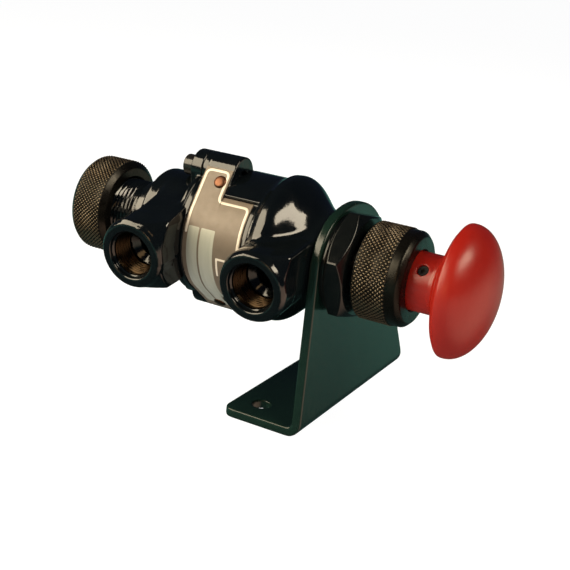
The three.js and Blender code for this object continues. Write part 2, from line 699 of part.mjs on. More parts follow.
// Hexagon with both edges turned down
function panelNut(start) {
  const corner = NUT_FLAT_HALF / Math.cos(Math.PI / 6);
  const hexagon = [];
  for (let i = 0; i < 6; i++) {
    hexagon.push(around(0, corner, 60 * i + NUT_TURN).slice(1));
  }
  const turnedEdges = turned([
    [start, 0], [start, NUT_FLAT_HALF - 0.6], [start + NUT_CHAMFER, NUT_CORNER_R],
    [NUT_END_X - NUT_CHAMFER, NUT_CORNER_R], [NUT_END_X, NUT_FLAT_HALF - 0.6], [NUT_END_X, 0],
  ]);
  return turnedEdges.intersect(raisedAlongX(polygon(hexagon), start - 1, NUT_END_X + 1))
    .subtract(rod(start - 1, NUT_END_X + 1, RIGHT_NECK_R + SEAT_FIT));
}

function palmButton() {
  const underside = BUTTON_RIM_X - BUTTON_FLARE_X;
  const dome = BUTTON_APEX_X - BUTTON_RIM_X;
  const shell = turned([
    [BUTTON_NECK_START_X, 0], [BUTTON_NECK_START_X, BUTTON_NECK_R], [BUTTON_FLARE_X - 2, BUTTON_NECK_R],
    [BUTTON_FLARE_X - 0.8, BUTTON_NECK_R + 0.5], [BUTTON_FLARE_X, BUTTON_NECK_R + 1.65],
    ...UNDERSIDE_SHARES.map(([x, r]) => [BUTTON_FLARE_X + x * underside, r * BUTTON_RIM_R]),
    [BUTTON_RIM_X - 0.9, BUTTON_RIM_R - 0.3],
    [BUTTON_RIM_X, BUTTON_RIM_R], [BUTTON_RIM_X + 1.4, BUTTON_RIM_R],
    ...DOME_SHARES.map(([x, r]) => [BUTTON_RIM_X + x * dome, r * BUTTON_RIM_R]),
    [BUTTON_APEX_X, 0],
  ]);
  return cutFrom(shell, [
    rod(BUTTON_NECK_START_X - 1, STEM_END_X + INNER_FIT, STEM_R + SLIDE_FIT, INNER_FLATS),
    pin(around(SET_SCREW_X, STEM_R - 1, SET_SCREW_ANGLE), around(SET_SCREW_X, BUTTON_NECK_R + 2,
      SET_SCREW_ANGLE), SET_SCREW_R + SLIDE_FIT, 20),
  ]);
}

function setScrew() {
  const end = BUTTON_NECK_R - SET_SCREW_SINK;
  return cutFrom(pin(around(SET_SCREW_X, STEM_R + SLIDE_FIT, SET_SCREW_ANGLE),
    around(SET_SCREW_X, end, SET_SCREW_ANGLE), SET_SCREW_R, 20), [
    pin(around(SET_SCREW_X, end - 1.5, SET_SCREW_ANGLE), around(SET_SCREW_X, end + 1, SET_SCREW_ANGLE),
      SET_SCREW_R * 0.5, 6),
  ]);
}

// One sheet, bent along the foot: the plate stands at the valve's shoulder and the foot runs to -X
function bracket() {
  const bottom = -AXIS_HEIGHT;
  const section = new THREE.Shape();
  section.moveTo(FOOT_FRONT_X, bottom);
  section.lineTo(BRACKET_X - BEND_R, bottom);
  section.absarc(BRACKET_X - BEND_R, bottom + BEND_R + SHEET, BEND_R + SHEET, 1.5 * Math.PI, TAU);
  section.lineTo(BRACKET_X + SHEET, BRACKET_FRONT_R + 10);
  section.lineTo(BRACKET_X, BRACKET_FRONT_R + 10);
  section.absarc(BRACKET_X - BEND_R, bottom + BEND_R + SHEET, BEND_R, 0, -Math.PI / 2, true);
  section.lineTo(FOOT_FRONT_X, bottom + SHEET);
  const bent = new THREE.ExtrudeGeometry(section, {
    depth: BRACKET_BACK_Y + BRACKET_FRONT_R,
    bevelEnabled: false,
    curveSegments: 8,
  });
  bent.rotateX(Math.PI / 2);
  bent.translate(0, BRACKET_BACK_Y, 0);
  const ends = [FOOT_HOLE_END - BRACKET_FRONT_R, BRACKET_BACK_Y - FOOT_HOLE_END];
  const foot = FOOT_FRONT_X + FOOT_HOLE_INSET;
  return cutFrom(solidOf(bent).intersect(plateOutline()), [
    rod(BRACKET_X - 1, BRACKET_X + SHEET + 1, RIGHT_NECK_R + SEAT_FIT),
    ...ends.map((y) => pin([foot, y, bottom - 1], [foot, y, bottom + SHEET + 1], FOOT_HOLE_R, 28)),
    footCorner(-BRACKET_FRONT_R, 1),
    footCorner(BRACKET_BACK_Y, -1),
  ]);
}

// Side view of the bracket: straight front edge, round top in two arcs, and a sloping back edge that ends
// with a small round at the bend
function plateOutline() {
  const topR = BRACKET_FRONT_R + Math.hypot(TOP_ARC_Y, TOP_ARC_DROP);
  const meetZ = BACK_EDGE_HEIGHT - AXIS_HEIGHT;
  const toCorner = [BRACKET_BACK_Y - TOP_ARC_Y, meetZ + TOP_ARC_DROP];
  const lean = Math.atan2(toCorner[1], toCorner[0]) + Math.acos(topR / Math.hypot(...toCorner));
  const join = Math.atan2(TOP_ARC_DROP, -TOP_ARC_Y);
  const outline = new THREE.Shape();
  outline.moveTo(-BRACKET_FRONT_R, -AXIS_HEIGHT - 1);
  outline.lineTo(BRACKET_BACK_Y, -AXIS_HEIGHT - 1);
  outline.lineTo(BRACKET_BACK_Y, meetZ - PLATE_CORNER_R);
  outline.quadraticCurveTo(BRACKET_BACK_Y, meetZ, BRACKET_BACK_Y - PLATE_CORNER_R * Math.sin(lean),
    meetZ + PLATE_CORNER_R * Math.cos(lean));
  outline.absarc(TOP_ARC_Y, -TOP_ARC_DROP, topR, lean, join);
  outline.absarc(0, 0, BRACKET_FRONT_R, join, Math.PI);
  return raisedAlongX(outline, FOOT_FRONT_X - 1, BRACKET_X + SHEET + 1, 1, 20);
}

// What the round takes off a free corner of the foot
function footCorner(y, inward) {
  const outline = new THREE.Shape();
  outline.moveTo(FOOT_FRONT_X - 1, y - inward);
  outline.lineTo(FOOT_FRONT_X + FOOT_CORNER_R, y - inward);
  outline.lineTo(FOOT_FRONT_X + FOOT_CORNER_R, y);
  outline.absarc(FOOT_FRONT_X + FOOT_CORNER_R, y + inward * FOOT_CORNER_R, FOOT_CORNER_R,
    -inward * Math.PI / 2, Math.PI, inward > 0);
  outline.lineTo(FOOT_FRONT_X - 1, y + inward * FOOT_CORNER_R);
  const raised = new THREE.ExtrudeGeometry(outline, {
    depth: SHEET + 2,
    bevelEnabled: false,
    curveSegments: 6,
  });
  raised.translate(0, 0, -AXIS_HEIGHT - 1);
  return solidOf(raised);
}

const valve = new THREE.Group();
valve.name = 'palm_button_valve';
valve.position.set(-FOOT_MID_X, 0, AXIS_HEIGHT);

const body = new THREE.Group();
body.name = 'body';
body.rotation.x = BODY_TILT;
body.add(
  piece('main_body', mainBody(), blackPaint),
  piece('left_head', leftHead(), blackPaint),
  piece('end_cap', endCap(), bronze),
  piece('end_cap_seal', tube(LEFT_NECK_END_X - CAP_SEAL_THICK, LEFT_NECK_END_X, CAP_SEAL_INNER_R,
    CAP_SEAL_OUTER_R), rubber),
  piece('spring_disc', rod(CAP_FLOOR_X, SPRING_START_X, SPRING_DISC_R, INNER_FLATS), steel),
  piece('lug_screw_top', lugScrew(1), steel),
  piece('lug_screw_bottom', lugScrew(-1), steel),
  piece('nameplate', nameplate(), plateMetal),
  piece('plate_rivet_top', plateRivet(1), copper),
  piece('plate_rivet_bottom', plateRivet(-1), copper),
  ...sealStack(),
  piece('gland_bush', glandBush(), bronze),
  piece('stem_wiper', tube(COLLAR_STEP_X - WIPER_THICK, COLLAR_STEP_X, STEM_R + INNER_FIT, WIPER_R,
    INNER_FLATS), rubber),
);

const plunger = new THREE.Group();
plunger.name = 'plunger';
plunger.add(
  piece('spool', spool(), steel),
  piece('stem', stem(), steel),
  piece('stop_ring', tube(SPOOL_END_X, SPOOL_END_X + STOP_RING_THICK, STEM_R + INNER_FIT, STOP_RING_R,
    INNER_FLATS), steel),
  piece('spring_seat', springSeat(), steel),
  piece('return_spring', returnSpring(), steel),
  piece('palm_button', palmButton(), redPlastic),
  piece('button_set_screw', setScrew(), steel),
);
body.add(plunger);

const clampedOn = new THREE.Group();
clampedOn.name = 'clamped_on';
clampedOn.add(
  piece('mounting_bracket', bracket(), satinBlack),
  piece('panel_washer', tube(BRACKET_X + SHEET, BRACKET_X + SHEET + WASHER_THICK, RIGHT_NECK_R + SEAT_FIT,
    WASHER_R), steel),
  piece('panel_nut', panelNut(BRACKET_X + SHEET + WASHER_THICK), steel),
  piece('knurled_collar', knurledCollar(), bronze),
);

valve.add(body, clampedOn);

export default valve;
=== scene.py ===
import math

import bpy
import numpy as np
from mathutils import Matrix, Vector


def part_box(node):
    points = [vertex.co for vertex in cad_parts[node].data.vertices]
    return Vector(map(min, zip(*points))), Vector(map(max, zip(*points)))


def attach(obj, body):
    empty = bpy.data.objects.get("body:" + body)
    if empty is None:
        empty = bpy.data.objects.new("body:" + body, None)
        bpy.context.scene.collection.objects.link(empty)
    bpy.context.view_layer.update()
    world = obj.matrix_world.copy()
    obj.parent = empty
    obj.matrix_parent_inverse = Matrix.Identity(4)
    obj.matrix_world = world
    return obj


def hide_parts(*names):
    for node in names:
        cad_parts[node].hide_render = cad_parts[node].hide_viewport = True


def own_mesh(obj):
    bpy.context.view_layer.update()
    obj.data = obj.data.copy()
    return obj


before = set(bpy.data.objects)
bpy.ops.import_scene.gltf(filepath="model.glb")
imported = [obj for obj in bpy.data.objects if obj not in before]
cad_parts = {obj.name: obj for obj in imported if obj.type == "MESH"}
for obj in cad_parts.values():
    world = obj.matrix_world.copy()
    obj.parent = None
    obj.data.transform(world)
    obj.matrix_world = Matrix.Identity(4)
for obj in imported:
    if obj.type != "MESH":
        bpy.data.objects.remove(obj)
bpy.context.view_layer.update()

# Sizes are in millimetres. Stations along the axis are measured from the midpoint between the front ports.

# Frame
AXIS_HEIGHT = 68.5
BODY_TILT = 0.15
FOOT_MID_X = 26.8

# Castings
JOINT_X = -14.9
RIM_R = 26.0
RIM_END_X = -12.2
SEAT_R = 25.0
PAD_START_X = 0.1
PAD_END_X = 15.6
PAD_R = 26.9
PAD_ROOT_R = 18.0
PAD_FROM_ANGLE = math.radians(57)
BELL_PEAK_X = 21.6
BELL_R = 29.1
BELL_END_X = 38.0
SHOULDER_R = 18.6
FLANGE_START_X = -17.2
HEAD_R = 21.0
HEAD_START_X = -37.0
LEFT_SHOULDER_X = -44.3
LEFT_SHOULDER_R = 14.4
LEFT_CONE_END_X = -38.6
LEFT_CONE_END_R = 15.6
BORE_R = 9.0
BODY_BORE_END_X = 43.2
GLAND_BORE_R = 8.5
HEAD_BORE_END_X = -38.0
SPRING_PASSAGE_R = 6.4
SPRING_CHAMBER_R = 8.6
SPRING_CHAMBER_END_X = -41.0

# Front and rear ports
PORT_X = 26.8
PORT_REACH = 39.5
PORT_ROOT = 30.0
PORT_SHOULDER = 37.5
PORT_TURNED_R = 14.0
PORT_FACE_R = 12.9
PORT_MOUTH_R = 9.6
PORT_MOUTH_DEPTH = 1.4
PORT_BORE_R = 8.25
PORT_THREAD_DEPTH = 0.55
PORT_DEPTH = 13.0
PORT_DRILL_R = 6.0
PORT_PITCH = 1.34
BOSS_HALF = 13.2
BOSS_ROUND = 11.0
BOSS_SMALL_ROUND = 1.2
BOSS_EDGE = 0.6
RIDGE_START_X = -31.0
RIDGE_TOP_R = 0.98 * HEAD_R
RIDGE_TOP_ANGLE = math.radians(78)
RIDGE_FILLET = 2.5
HEAD_FILLET = 1.6
BODY_FILLET = 2.4
REAR_FILLET = 2.0
REAR_PORT_REACH = 30.5
REAR_PORT_DEPTH = 9.0
REAR_BOSS_R = 14.2

# Lugs and their screws
LUG_START_X = -20.2
LUG_CENTRE_R = 25.8
LUG_R = 7.4
LUG_HOLE_R = 2.0
SCREW_HEAD_R = 4.2
SCREW_HEAD = 5.8
SCREW_SHANK_R = 1.9
SCREW_LENGTH = 12.0
SCREW_KEY_R = 1.55
SCREW_KEY_DEPTH = 2.0
FLANK_FACING = math.asin((SEAT_R - LUG_R) / LUG_CENTRE_R)

# Necks, caps and nut
NECK_R = 13.0
NECK_PITCH = 1.8
NECK_THREAD_DEPTH = 0.65
LEFT_NECK_END_X = -64.0
UNDERCUT_START_X = -46.0
UNDERCUT_R = 12.5
RIGHT_NECK_END_X = 62.5
CAP_BACK_X = -72.3
CAP_R = 20.1
CAP_KNURL_END_X = -57.5
CAP_FRONT_X = -55.6
CAP_SEAL_X = -66.4
CAP_FLOOR_X = -68.6
CAP_POCKET_R = 8.35
CAP_TEETH = 76
COLLAR_START_X = 56.6
COLLAR_KNURL_X = 57.2
COLLAR_KNURL_END_X = 70.5
COLLAR_END_X = 76.0
COLLAR_R = 19.0
COLLAR_HOLE_R = 11.6
COLLAR_TEETH = 66
KNURL_DEPTH = 0.5
THREAD_GAP = 0.3
BRACKET_X = 40.6
SHEET = 3.8
WASHER_THICK = 1.5
WASHER_R = 19.1
NUT_END_X = 54.1
NUT_FLAT_HALF = 19.6
NUT_CORNER_R = 22.1
NUT_TURN = 13.0
NUT_CHAMFER = 2.2

# Bracket
FOOT_FRONT_X = 9.2
BRACKET_FRONT_R = 20.7
BRACKET_BACK_Y = 81.5
TOP_ARC_Y = 6.7
TOP_ARC_DROP = 18.0
BACK_EDGE_HEIGHT = 6.1
BEND_R = 2.4
FOOT_CORNER_R = 5.0
PLATE_CORNER_R = 3.6
FOOT_HOLE_R = 3.8
FOOT_HOLE_INSET = 11.2
FOOT_HOLE_END = 12.5
SHEET_EDGE = 0.9

# Button
BUTTON_NECK_R = 11.35
BUTTON_NECK_START_X = 72.0
BUTTON_FLARE_X = 86.6
BUTTON_RIM_R = 25.3
BUTTON_RIM_X = 91.8
BUTTON_APEX_X = 106.6
STEM_END_X = 89.05
STEM_HOLE_R = 4.15
SET_SCREW_X = 80.2
SET_SCREW_ANGLE = math.radians(48.1)
SET_SCREW_HOLE_R = 2.15

# Return spring
SPRING_WIRE_R = 0.75
SPRING_MEAN_R = 6.6
SPRING_TURNS = 6
SPRING_END_RISE = 1.6

# Nameplate
PLATE_THICK = 0.5
PLATE_RELIEF = 0.09
PLATE_STRIP_END_X = -0.4
PLATE_TAB_END_X = 13.3
PLATE_TAB_ALONG = SEAT_R * math.radians(56.3)
PLATE_ROUND_ALONG = SEAT_R * FLANK_FACING
PLATE_END_ALONG = PLATE_ROUND_ALONG + 17.0
TAB_NOTCH_ALONG = 24.5
FRAME_LINE_HALF = 0.5
FRAME_CORNER_R = 2.2
MARK_HALF = 0.42
CORNER_MARK = [(7.2, 0.6), (3.5, 0.6), (3.5, -6.4)]
FIELDS = [(-10.3, -5.5), (-4.7, 1.6)]
FIELD_TOP = 11.0
FIELD_END = -31.5
PRINT_RAMP = 0.2
RIVET_X = -4.0
RIVET_ALONG = 11.5
RIVET_R = 2.6
RIVET_HEAD = 1.0
RIVET_SHANK_R = 1.1
RIVET_SHANK = 3.4

# Making of the meshes: profiles of fields run past the axis, so no skin forms along it, and a coarse look at
# blocks of cells finds where the skin is
PAST_AXIS = -9
NEAR_AXIS = 0.05
SHARP_ANGLE = math.radians(35)
BLOCK = 4
LATHE_SIDES = 128
THREAD_SIDES = 144
WIRE_SIDES = 14
ROWS_PER_PITCH = 8
CASTING_STEP = 0.5
BRACKET_STEP = 0.6
BUTTON_STEP = 0.5
NUT_STEP = 0.36
SCREW_STEP = 0.22
PLATE_STEP_ACROSS = 0.25
PLATE_STEP_ALONG = 0.3
LUG_EDGE = 0.7
HOLE_EDGE = 0.25
BORE_EDGE = 0.2

# Stage, light and camera
FLOOR_REACH = 10.0
FLOOR_GLOW = 0.97
BACKDROP_SHARE = 0.9
BACKDROP_SIDES = 48
BACKDROP_GLOW = 1.0
HEIGHT_COLOURS = [(0.27, (0.03, 0.06, 0.055)), (0.37, (0.16, 0.42, 0.34)), (0.54, (0.012, 0.018, 0.035))]
LOW_RIGHT = (1.6, 1.1, 0.8)
LOW_FROM, LOW_TO = 0.02, -0.06
RIGHT_FROM, RIGHT_TO = 0.45, 0.8
LIGHT_AIM = (0, 0, 0.07)
CAMERA_RIGHT = (0.8719, 0.4791, 0.1009)
CAMERA_UP = (-0.2351, 0.2290, 0.9446)
CAMERA_FORWARD = (-0.4295, 0.8473, -0.3123)
CAMERA_PLACE = (200.6, -354.1, 115.2)
SENSOR = 36
FOCAL_PIXELS = 1050
FRAME_PIXELS = 570
CLIP_NEAR, CLIP_FAR = 0.01, 50


def body_place(points):
    """From the valve's own axes to the row frame, in metres: the body is turned back on its axis."""
    c, s = math.cos(BODY_TILT), math.sin(BODY_TILT)
    x, y, z = np.asarray(points, float).T
    return np.stack([x - FOOT_MID_X, y * c - z * s, AXIS_HEIGHT + y * s + z * c], 1) / 1000


def level_place(points):
    """The same for what is clamped on the neck and stands upright."""
    x, y, z = np.asarray(points, float).T
    return np.stack([x - FOOT_MID_X, y, AXIS_HEIGHT + z], 1) / 1000


def level_turn(directions):
    """What stands upright keeps its directions."""
    return directions


def body_turn(directions):
    c, s = math.cos(BODY_TILT), math.sin(BODY_TILT)
    x, y, z = directions.T
    return np.stack([x, y * c - z * s, y * s + z * c], 1)


# Outlines and profiles


def arc(centre, radius, start, end, steps):
    """Points on an arc; the angles are in radians."""
    turn = np.linspace(start, end, steps + 1)
    return [(centre[0] + radius * math.cos(a), centre[1] + radius * math.sin(a)) for a in turn]


def eased(points, steps=4):
    """A profile whose points may carry a third number, the radius that eases that corner."""
    out = []
    count = len(points)
    for i, point in enumerate(points):
        here = np.array(point[:2], float)
        if len(point) < 3:
            out.append(tuple(here))
            continue
        before = np.array(points[i - 1][:2], float) - here
        after = np.array(points[(i + 1) % count][:2], float) - here
        reach = min(point[2], 0.45 * np.linalg.norm(before), 0.45 * np.linalg.norm(after))
        a = here + before / np.linalg.norm(before) * reach
        b = here + after / np.linalg.norm(after) * reach
        for t in np.linspace(0, 1, steps + 1):
            out.append(tuple((1 - t) ** 2 * a + 2 * t * (1 - t) * here + t * t * b))
    return out


# Distance fields: negative inside, in millimetres


def polygon_field(u, v, points):
    best = np.full(u.shape, 1e9)
    inside = np.zeros(u.shape, bool)
    for (ax, ay), (bx, by) in zip(points, points[1:] + points[:1]):
        ex, ey = bx - ax, by - ay
        length = ex * ex + ey * ey
        if length < 1e-12:
            continue
        wx, wy = u - ax, v - ay
        t = np.clip((wx * ex + wy * ey) / length, 0, 1)
        best = np.minimum(best, (wx - ex * t) ** 2 + (wy - ey * t) ** 2)
        if ey:
            inside ^= ((ay > v) != (by > v)) & (u < ax + wy * ex / ey)
    return np.where(inside, -1, 1) * np.sqrt(best)


def join(a, b, soft):
    """Union of two fields with a fillet; cross is their shared part, cut takes the second away."""
    h = np.clip(0.5 + 0.5 * (b - a) / soft, 0, 1)
    return b + (a - b) * h - soft * h * (1 - h)


def cross(a, b, soft):
    return -join(-a, -b, soft)


def cut(a, b, soft):
    return cross(a, -b, soft)


def turned_field(p, profile):
    return polygon_field(p[:, 0], np.hypot(p[:, 1], p[:, 2]), profile)


def rod_field(p, x0, x1, radius):
    return turned_field(p, [(x0, PAST_AXIS), (x0, radius), (x1, radius), (x1, PAST_AXIS)])


def across_field(p, x, profile):
    """Turned about the port's axis; the profile has pairs of y and radius."""
    return polygon_field(p[:, 1], np.hypot(p[:, 0] - x, p[:, 2]), profile)


def cornered_field(u, v, low, high, radii):
    """Rectangle with its own radius at the right top, left top, left bottom and right bottom corner."""
    cu, cv = (low[0] + high[0]) / 2, (low[1] + high[1]) / 2
    hu, hv = (high[0] - low[0]) / 2, (high[1] - low[1]) / 2
    rt, lt, lb, rb = radii
    right, top = u > cu, v > cv
    r = np.where(top, np.where(right, rt, lt), np.where(right, rb, lb))
    a, b = np.abs(u - cu) - hu + r, np.abs(v - cv) - hv + r
    return np.minimum(np.maximum(a, b), 0) + np.hypot(np.maximum(a, 0), np.maximum(b, 0)) - r


def lug_field(p, side, x0, x1):
    n = (-math.cos(FLANK_FACING), math.sin(FLANK_FACING))
    outline = [(LUG_R, SEAT_R / 2)]
    outline += arc((0, LUG_CENTRE_R), LUG_R, 0, math.pi - FLANK_FACING, 40)
    outline += [(n[0] * SEAT_R, n[1] * SEAT_R), (n[0] * SEAT_R / 2, n[1] * SEAT_R / 2)]
    flat = polygon_field(p[:, 1], side * p[:, 2], outline)
    return cross(flat, np.abs(p[:, 0] - (x0 + x1) / 2) - (x1 - x0) / 2, LUG_EDGE)


def lug_end_field(p, side, x0, x1):
    """The lug where it passes the joint: round, with straight sides."""
    up = side * p[:, 2]
    outline = np.where(up > LUG_CENTRE_R, np.hypot(p[:, 1], up - LUG_CENTRE_R), np.abs(p[:, 1])) - LUG_R
    outline = np.maximum(outline, SEAT_R / 2 - up)
    return cross(outline, np.abs(p[:, 0] - (x0 + x1) / 2) - (x1 - x0) / 2, LUG_EDGE)


def turning_field(p, centre):
    """Cone that takes the corners off whatever stands behind a front port's face."""
    cone = [(0, PAST_AXIS), (0, PORT_TURNED_R + PORT_SHOULDER), (-PORT_SHOULDER, PORT_TURNED_R),
            (-PORT_SHOULDER - 1, PAST_AXIS)]
    return across_field(p, centre, cone)


def ridge_field(p):
    """Ridge that rises from the top of the left port's boss to the top of the left head."""
    x, y, z = p.T
    top = (-RIDGE_TOP_R * math.cos(RIDGE_TOP_ANGLE), RIDGE_TOP_R * math.sin(RIDGE_TOP_ANGLE))
    outline = [(-PORT_SHOULDER, 0), (-PORT_SHOULDER, BOSS_HALF), top, (0, top[1]), (0, 0)]
    ridge = cross(polygon_field(y, z, outline), x + PORT_X - BOSS_HALF, BOSS_EDGE)
    return cross(cross(ridge, RIDGE_START_X - x, RIDGE_FILLET), turning_field(p, -PORT_X), BOSS_EDGE)


def boss_field(p, centre, radii):
    x, y, z = p.T
    block = cornered_field(x, z, (centre - BOSS_HALF, -BOSS_HALF), (centre + BOSS_HALF, BOSS_HALF), radii)
    block = cross(block, np.maximum(-PORT_SHOULDER - y, y), BOSS_EDGE)
    block = cross(block, turning_field(p, centre), BOSS_EDGE)
    front = eased([(-PORT_ROOT, PAST_AXIS), (-PORT_ROOT, PORT_TURNED_R),
                   (-PORT_SHOULDER, PORT_TURNED_R, 0.8), (-PORT_REACH, PORT_FACE_R, 0.8),
                   (-PORT_REACH, PAST_AXIS)])
    return join(block, across_field(p, centre, front), 0.4)


def port_hole_field(p, centre, reach, depth, side):
    """Side -1 opens to the front, 1 to the back."""
    bore = PORT_BORE_R + PORT_THREAD_DEPTH
    profile = eased([(side * (reach + 3), PAST_AXIS), (side * (reach + 3), PORT_MOUTH_R + 3),
                     (side * reach, PORT_MOUTH_R + 0.45), (side * (reach - 0.5), PORT_MOUTH_R, 0.3),
                     (side * (reach - PORT_MOUTH_DEPTH), PORT_MOUTH_R, 0.4),
                     (side * (reach - PORT_MOUTH_DEPTH - 1), bore), (side * (reach - depth), bore),
                     (side * (reach - depth - 2.2), PORT_DRILL_R), (0, PORT_DRILL_R), (0, PAST_AXIS)])
    return across_field(p, centre, profile)


def bell_profile():
    points = [(PAD_END_X, SEAT_R), (PAD_END_X, PAD_R, 0.5), (PAD_END_X + 1.4, PAD_R + 0.5),
              (PAD_END_X + 2.9, BELL_R - 0.8), (PAD_END_X + 3.8, BELL_R - 0.2)]
    for t in np.linspace(0, 1, 31):
        fall = (1 - math.cos(math.pi * t)) / 2
        points.append((BELL_PEAK_X + (BELL_END_X - BELL_PEAK_X) * t, BELL_R - (BELL_R - SHOULDER_R) * fall))
    return points


BODY_PROFILE = eased([
    (JOINT_X, PAST_AXIS), (JOINT_X, RIM_R, 0.7), (RIM_END_X, RIM_R, 0.3), (RIM_END_X, SEAT_R),
    *bell_profile(),
    (BRACKET_X, SHOULDER_R, 0.5), (BRACKET_X, NECK_R - NECK_THREAD_DEPTH),
    (RIGHT_NECK_END_X, NECK_R - NECK_THREAD_DEPTH, 0.5), (RIGHT_NECK_END_X, PAST_AXIS),
])
HEAD_PROFILE = eased([
    (LEFT_NECK_END_X, PAST_AXIS), (LEFT_NECK_END_X, NECK_R - NECK_THREAD_DEPTH, 0.4),
    (UNDERCUT_START_X, NECK_R - NECK_THREAD_DEPTH), (UNDERCUT_START_X + 0.4, UNDERCUT_R - 0.3),
    (LEFT_SHOULDER_X, UNDERCUT_R - 0.3, 0.3), (LEFT_SHOULDER_X, LEFT_SHOULDER_R, 0.4),
    (LEFT_CONE_END_X, LEFT_CONE_END_R, 0.8), (HEAD_START_X, HEAD_R, 1.1),
    (FLANGE_START_X - 0.8, HEAD_R, 0.8), (FLANGE_START_X, HEAD_R + 1.2), (FLANGE_START_X, RIM_R, 0.8),
    (JOINT_X, RIM_R, 0.7), (JOINT_X, PAST_AXIS),
])


def body_field(p):
    x, y, z = p.T
    d = turned_field(p, BODY_PROFILE)
    for side in (1, -1):
        d = join(d, lug_field(p, side, RIM_END_X, PAD_START_X), 0.5)
        d = join(d, lug_end_field(p, side, JOINT_X, RIM_END_X), 0.5)
    ring = turned_field(p, [(PAD_START_X, PAD_ROOT_R), (PAD_START_X, PAD_R), (PAD_END_X + 1, PAD_R),
                            (PAD_END_X + 1, PAD_ROOT_R)])
    wedge = np.abs(y) * math.sin(PAD_FROM_ANGLE) - np.abs(z) * math.cos(PAD_FROM_ANGLE)
    d = join(d, cross(ring, wedge, 0.5), 0.3)
    radii = (BOSS_SMALL_ROUND, BOSS_ROUND, BOSS_ROUND, BOSS_ROUND)
    d = join(d, boss_field(p, PORT_X, radii), BODY_FILLET)
    rear = eased([(0, PAST_AXIS), (0, REAR_BOSS_R), (REAR_PORT_REACH, REAR_BOSS_R, 0.9),
                  (REAR_PORT_REACH, PAST_AXIS)])
    d = join(d, across_field(p, 0, rear), REAR_FILLET)
    d = cut(d, port_hole_field(p, PORT_X, PORT_REACH, PORT_DEPTH, -1), HOLE_EDGE)
    d = cut(d, port_hole_field(p, 0, REAR_PORT_REACH, REAR_PORT_DEPTH, 1), HOLE_EDGE)
    for side in (1, -1):
        hole = np.hypot(y, z - side * LUG_CENTRE_R) - LUG_HOLE_R
        d = cut(d, np.maximum(hole, x - PAD_START_X - 1), 0.3)
    d = cut(d, rod_field(p, JOINT_X - 5, BODY_BORE_END_X, BORE_R), BORE_EDGE)
    return cut(d, rod_field(p, BODY_BORE_END_X - 1.2, RIGHT_NECK_END_X + 5, GLAND_BORE_R), BORE_EDGE)


def head_field(p):
    x, y, z = p.T
    d = turned_field(p, HEAD_PROFILE)
    for side in (1, -1):
        d = join(d, lug_end_field(p, side, LUG_START_X, JOINT_X), 0.8)
    radii = (BOSS_SMALL_ROUND, BOSS_ROUND, BOSS_ROUND, BOSS_SMALL_ROUND)
    boss = join(boss_field(p, -PORT_X, radii), ridge_field(p), RIDGE_FILLET)
    boss = np.where(x > JOINT_X, np.maximum(boss, RIM_R + 0.3 - np.hypot(y, z)), boss)
    d = join(d, boss, HEAD_FILLET)
    past = np.maximum(JOINT_X - x, np.hypot(y, z) - RIM_R - 0.3)
    d = cut(d, past, 0.2)
    d = cut(d, port_hole_field(p, -PORT_X, PORT_REACH, PORT_DEPTH, -1), HOLE_EDGE)
    d = cut(d, rod_field(p, HEAD_BORE_END_X, JOINT_X + 5, BORE_R), BORE_EDGE)
    d = cut(d, rod_field(p, SPRING_CHAMBER_END_X - 1, HEAD_BORE_END_X + 1, SPRING_PASSAGE_R), BORE_EDGE)
    return cut(d, rod_field(p, LEFT_NECK_END_X - 5, SPRING_CHAMBER_END_X, SPRING_CHAMBER_R), BORE_EDGE)


def nut_field(p):
    x, y, z = p.T
    start = BRACKET_X + SHEET + WASHER_THICK
    flats = np.full(x.shape, -1e9)
    for i in range(6):
        a = math.radians(NUT_TURN + 30 + 60 * i)
        flats = np.maximum(flats, -y * math.cos(a) + z * math.sin(a) - NUT_FLAT_HALF)
    face_r = NUT_FLAT_HALF - 0.7
    corner_r = NUT_CORNER_R + 0.4
    cone = turned_field(p, [(start, PAST_AXIS), (start, face_r), (start + NUT_CHAMFER, corner_r),
                            (NUT_END_X - NUT_CHAMFER, corner_r), (NUT_END_X, face_r),
                            (NUT_END_X, PAST_AXIS)])
    body = cross(flats, cone, 0.4)
    bore = NECK_R + THREAD_GAP
    wide = bore + 6
    hole = eased([(start - 5, PAST_AXIS), (start - 5, wide), (start + 0.9, bore),
                  (NUT_END_X - 0.9, bore), (NUT_END_X + 5, wide), (NUT_END_X + 5, PAST_AXIS)])
    return cut(body, turned_field(p, hole), BORE_EDGE)


